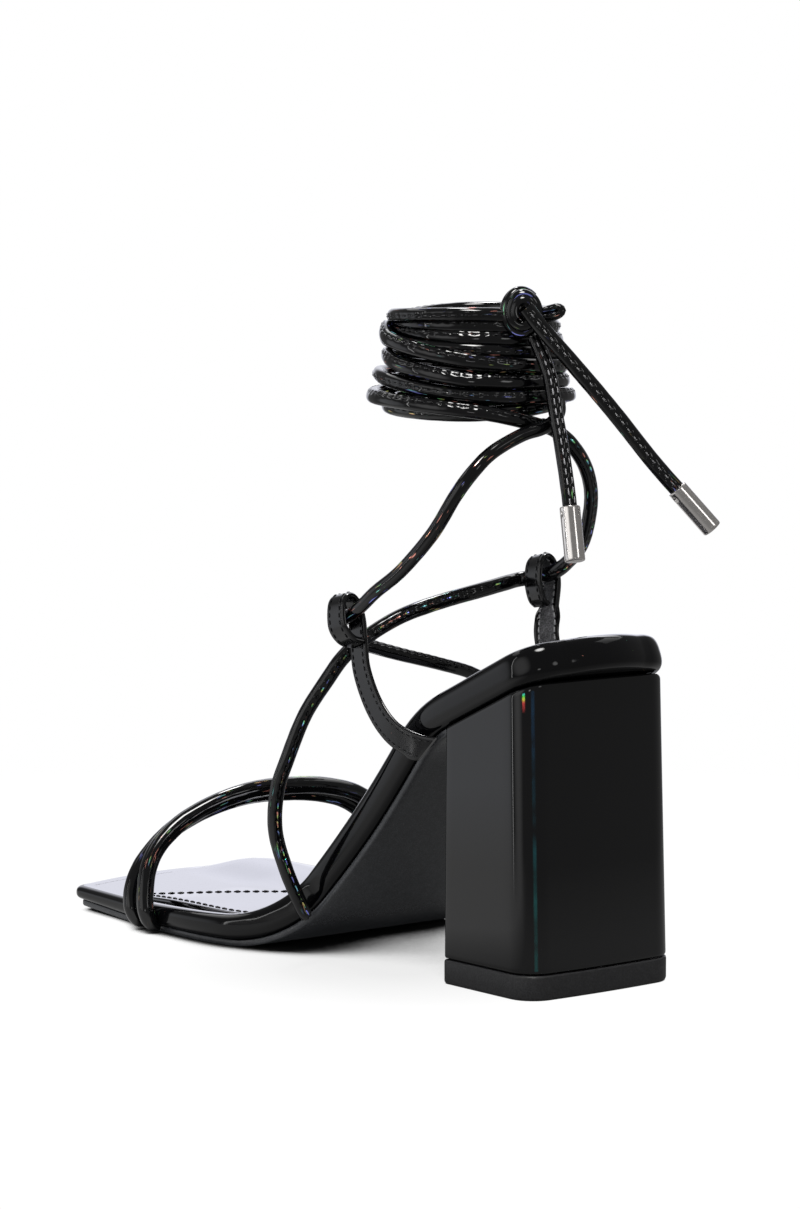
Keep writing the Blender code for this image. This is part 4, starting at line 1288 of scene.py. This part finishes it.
LaceEnd = namedtuple("LaceEnd", "name route facing seed wider stitch_angles thread")
SECOND_ROW_ANGLE = -42.0
# The short end's pale stitches are painted highlight, standing in for the stitches' glints.
SHORT_END = LaceEnd("short", LACE_END_SHORT, towards(0.5, 0.86, 0.0), 8.0, 0.4,
                    (STITCH_ANGLE, SECOND_ROW_ANGLE), PALE_THREAD)
LONG_END = LaceEnd("long", LACE_END_LONG, towards(0.5, 0.8, 0.1), 9.0, 0.9, (STITCH_ANGLE,), PAINTED_GLINT_THREAD)
CORD_PATH_STEP = 2.5


def make_lace_end(end):
    """A free lace end from the knot to its metal tip; others are further pieces on it."""
    shape = Shape()
    length, path = sewn_cord(shape, end.route, end.facing, LACE + end.wider, END_THICKNESS, end.stitch_angles,
                             end.seed, FINE_STEP)
    node = "lace_end_" + end.name
    lace = shape.make(node + "_sewn", [CORD_PATENT, end.thread], "cord_patent", [node])
    tip = make_tip(f"lace_tip_{end.name}_metal", end.route, "lace_tip_" + end.name)
    points = [(p.xyz + SHIFT) * MM for p in evenly(path, CORD_PATH_STEP)[0]]
    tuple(points[0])
    return lace


# Ankle straps

StrapEdge = namedtuple("StrapEdge", "inset level")
STRAP_EDGE = [
    StrapEdge(0.0, -0.55), StrapEdge(0.05, -0.2), StrapEdge(0.16, 0.0), StrapEdge(0.05, 0.2),
    StrapEdge(0.0, 0.55), StrapEdge(0.2, 0.85),
]
STRAP_FLAT = [0.55, 1.1, 1.45, 1.8, 2.6, 3.8, 5.0, 5.8, 6.15, 6.5, 7.05]  # from one edge to the other
STRAP_SEAM = 1.45
STRAP_STITCH_LENGTH = 0.7  # of the pitch
STRAP_THREAD = 0.17
PALE_STRAP_THREAD = 0.26
STRAP_CUT_REACH = 16.0
STRAP_STEPS = 9  # points to each span of its route
# Heights between which the outer strap's stem turns to face the back, and turns away again
STEM_TURNS_BACK = (80.0, 90.0)
STEM_TURNS_AWAY = (99.0, 106.0)
Strap = namedtuple("Strap", "name route lined turns_back end_cut")
STRAPS = [
    Strap("inner", STRAP_INNER_SIDE, False, False, 5.5),
    Strap("outer", STRAP_OUTER_SIDE, True, True, 0.0),
]


def strap_section():
    """Outline of the strap's section: edge and flat of one side, then of the other."""
    half, thin = STRAP_WIDTH / 2, STRAP_THICKNESS / 2
    one = [(half - edge.inset, edge.level * thin) for edge in STRAP_EDGE]
    one += [(half - place, thin) for place in STRAP_FLAT]
    return one + [(-a, -b) for a, b in one]


def stem_turned(strap, height):
    """The share by which the strap's stem faces the back."""
    if not strap.turns_back:
        return 0.0
    return eased(height, *STEM_TURNS_BACK) * (1 - eased(height, *STEM_TURNS_AWAY))


def make_strap(strap):
    """A flat strap with its sewn loop, lined with a pale seam on one face or film on both.

    end_cut is how far its sewn-in end is cut aslant."""
    path = curve_through([Vector(p) for p in strap.route], STRAP_STEPS)
    section = strap_section()
    rings, across = [], None
    rows = {(side, face): ([], []) for side in (-1, 1) for face in (-1, 1)}
    for k, point in enumerate(path):
        way = (path[min(k + 1, len(path) - 1)] - path[max(k - 1, 0)]).normalized()
        if k <= STRAP_LOOP_FROM * STRAP_STEPS:
            across = way.cross(Vector((1, 0, 0))).normalized()
            back = way.cross(Vector(heading(KNOT_FACES, 0))).normalized()
            across = across.lerp(back, stem_turned(strap, point.z))
        across = (across - way * across.dot(way)).normalized()
        out = across.cross(way)
        slant = strap.end_cut * (1 - eased((point - path[0]).length, 0.0, STRAP_CUT_REACH))

        def on_strap(a, b):
            return point + across * a + out * b + way * slant * (0.5 - a / STRAP_WIDTH)

        rings.append([on_strap(a, b) for a, b in section])
        for (side, face), (points, normals) in rows.items():
            points.append(on_strap((STRAP_WIDTH / 2 - STRAP_SEAM) * side, STRAP_THICKNESS / 2 * face))
            normals.append(out * face)
    shape = Shape()
    seam = STRAP_FLAT.index(STRAP_SEAM)
    first, last = len(STRAP_EDGE) + seam, len(STRAP_EDGE) + len(STRAP_FLAT) - seam - 1
    shape.skin(rings, row_of=lambda k, j: 1 if strap.lined and first <= j < last else 0)
    for (side, face), (points, normals) in rows.items():
        pale = strap.lined and face == 1
        radius, row = (PALE_STRAP_THREAD, 3) if pale else (STRAP_THREAD, 2)
        stitches_along(shape, points, normals, STRAP_STITCH, STRAP_STITCH * STRAP_STITCH_LENGTH, radius, row)
    finishes = [STRAP_PATENT, STRAP_LINING, BLACK_THREAD, PALE_THREAD]
    node = "ankle_strap_" + strap.name
    return shape.make(node + "_lined", finishes, "strap_patent", [node])


# Stage, light and camera

Panel = namedtuple("Panel", "azimuth elevation inner outer strength colour")
PANELS = [
    Panel(218.6, 10, 14, 32, 0.93, (0.92, 0.93, 1.03)),
    Panel(218.6, 36, 4, 30, 0.7, (0.92, 0.93, 1.03)),
    Panel(140, -4, 10, 26, 0.64, (0.95, 0.98, 1.04)),
    Panel(42, 66, 3, 12, 26.0, (1, 0.99, 0.97)),
    Panel(205, 66, 4, 6.5, 42.0, (1, 1, 1)),
    Panel(88, 12, 0, 28, 0.9, (1, 1, 1)),
    Panel(39, 5, 2.5, 4.5, 3.2, (1, 1, 1)),
    Panel(-3, 20, 3, 8, 2.6, (1, 1, 1)),
]
Strip = namedtuple("Strip", "azimuth half low high strength colour")
STRIPS = [
    Strip(113, 1.3, -14, 34, 5.0, (1, 1, 1)),
    Strip(218.6, 60, 38, 50, 2.4, (1, 1, 1)),
]
WORLD_BASE = (0.18, 0.18, 0.18)
WHITE = (1, 1, 1, 1)


def panel_glow(tree, aim, panel):
    """1 inside a round panel, 0 outside, soft between."""
    near = vector(tree, "DOT_PRODUCT", aim, heading(panel.azimuth, panel.elevation))
    edges = [math.cos(math.radians(edge)) for edge in (panel.outer, panel.inner)]
    return ranged(tree, near, *edges, soft=True)


def strip_glow(tree, aim, strip):
    """1 inside an upright strip, 0 outside."""
    beside = vector(tree, "DOT_PRODUCT", aim, heading(strip.azimuth + 90, 0))
    ahead = vector(tree, "DOT_PRODUCT", aim, heading(strip.azimuth, 0))
    up = put(tree, "SeparateXYZ", {0: aim}).outputs["Z"]
    width = math.sin(math.radians(strip.half))
    glow = ranged(tree, calc(tree, "ABSOLUTE", beside), width, width / 2)
    limits = [
        ("GREATER_THAN", ahead, 0.0),
        ("GREATER_THAN", up, math.sin(math.radians(strip.low))),
        ("LESS_THAN", up, math.sin(math.radians(strip.high))),
    ]
    for operation, value, limit in limits:
        glow = calc(tree, "MULTIPLY", glow, calc(tree, operation, value, limit))
    return glow


def make_studio():
    """White to the camera; soft panels round a dark room to light the piece and show in its gloss."""
    world = bpy.data.worlds.new("studio")
    bpy.context.scene.world = world
    world.use_nodes = True
    tree = world.node_tree
    aim = put(tree, "TexCoord").outputs["Generated"]
    lights = [(panel_glow(tree, aim, panel), panel) for panel in PANELS]
    lights += [(strip_glow(tree, aim, strip), strip) for strip in STRIPS]
    total = WORLD_BASE
    for glow, light in lights:
        shade = tuple(c * light.strength for c in light.colour)
        total = vector(tree, "ADD", total, vector(tree, "SCALE", shade, glow))
    seen = put(tree, "LightPath").outputs["Is Camera Ray"]
    tree.links.new(mixed(tree, seen, total, WHITE), tree.nodes["Background"].inputs["Color"])


FLOOR_RADIUS = 2.6
FLOOR_SIDES = 96
FLOOR_TONE = (0.06, 0.06, 0.06, 1)
FLOOR_FADE = (0.2, 0.42)
# The floor's glow is lower near the piece: painted shade round it.
FLOOR_GLOW = (0.8, 0.97)  # near the piece and away from it
FLOOR_GLOW_AT = (0.02, 0.032, 0.0)
FLOOR_GLOW_REACH = (0.02, 0.075)
FLOOR_IN_GLOSS = (0.2, 0.6)  # how bright the gloss shows the floor, behind and on the lit side
FLOOR_LIT_SIDE = 141
FLOOR_LIT_FROM_TO = (-0.03, 0.06)
# Painted shadow on the floor: its glow fades where ambient occlusion is strong, and more round the ball.
FLOOR_SHADE_REACH = 0.06
FLOOR_SHADE = (0.12, 0.46)
BALL_SHADE_AT = (0.042, -0.022, 0.0)
BALL_SHADE_REACH = 0.06
BALL_SHADE = 0.3


def make_floor():
    """Pale glowing floor disc that fades out round the piece; its glow carries painted shadow, darkened where
    ambient occlusion is strong, more round the ball, and dimmer near the piece.
    """
    mesh = bpy.data.meshes.new("floor")
    turns = [2 * math.pi * k / FLOOR_SIDES for k in range(FLOOR_SIDES)]
    rim = [(FLOOR_RADIUS * math.cos(t), FLOOR_RADIUS * math.sin(t), 0) for t in turns]
    mesh.from_pydata(rim, [], [range(FLOOR_SIDES)])
    floor = bpy.data.objects.new("floor", mesh)
    bpy.context.scene.collection.objects.link(floor)
    made, tree, shader = new_material("pale_floor", Roughness=0.8, Base_Color=FLOOR_TONE,
                                      Emission_Strength=1.0, Specular_IOR_Level=0.0)
    at = put(tree, "TexCoord").outputs["Object"]
    # Painted shadow: the glow is dimmer near the piece and fades where ambient occlusion is strong and round
    # the ball.
    white = ranged(tree, vector(tree, "DISTANCE", at, FLOOR_GLOW_AT), *FLOOR_GLOW_REACH, *FLOOR_GLOW)
    from_ball = vector(tree, "DISTANCE", at, BALL_SHADE_AT)
    ball = ranged(tree, from_ball, BALL_SHADE_REACH, 0.0, 0.0, BALL_SHADE, soft=True)
    open_air = put(tree, "AmbientOcclusion", {"Distance": FLOOR_SHADE_REACH}).outputs["AO"]
    lit = ranged(tree, calc(tree, "SUBTRACT", open_air, ball), *FLOOR_SHADE, 0.0, white, soft=True)
    ahead = vector(tree, "DOT_PRODUCT", at, heading(FLOOR_LIT_SIDE, 0))
    gloss = ranged(tree, ahead, *FLOOR_LIT_FROM_TO, *FLOOR_IN_GLOSS)
    seen = calc(tree, "MAXIMUM", put(tree, "LightPath").outputs["Is Camera Ray"], gloss)
    glow = calc(tree, "MULTIPLY", lit, seen)
    tone = put(tree, "CombineColor", {"Red": glow, "Green": glow, "Blue": glow}, mode="RGB").outputs[0]
    solid = ranged(tree, vector(tree, "LENGTH", at), *FLOOR_FADE, 1.0, 0.0)
    wire(tree, shader, Emission_Color=tone, Alpha=solid)
    mesh.materials.append(made)


def make_camera():
    camera = bpy.data.objects.new("camera", bpy.data.cameras.new("camera"))
    bpy.context.scene.collection.objects.link(camera)
    camera.location = CAMERA_AT
    way = -Vector(heading(CAMERA_HEADING, CAMERA_DOWN))
    camera.rotation_mode = "QUATERNION"
    camera.rotation_quaternion = way.to_track_quat("-Z", "Y")
    camera.data.sensor_width = CAMERA_SENSOR
    camera.data.lens = CAMERA_SENSOR * CAMERA_FOCAL_PIXELS / max(PHOTO_SIZE)
    bpy.context.scene.camera = camera
    bpy.context.scene.view_settings.view_transform = "Standard"


def dress():
    make_camera()
    knot = make_knot()
    make_lace_end(SHORT_END)
    make_lace_end(LONG_END)
    make_footbed()
    make_outsole()
    make_sock()
    make_heel()
    make_top_lift()
    make_toe_straps()
    make_vamp_laces()
    make_ankle_wrap()
    for strap in STRAPS:
        make_strap(strap)
    make_studio()
    make_floor()


dress()
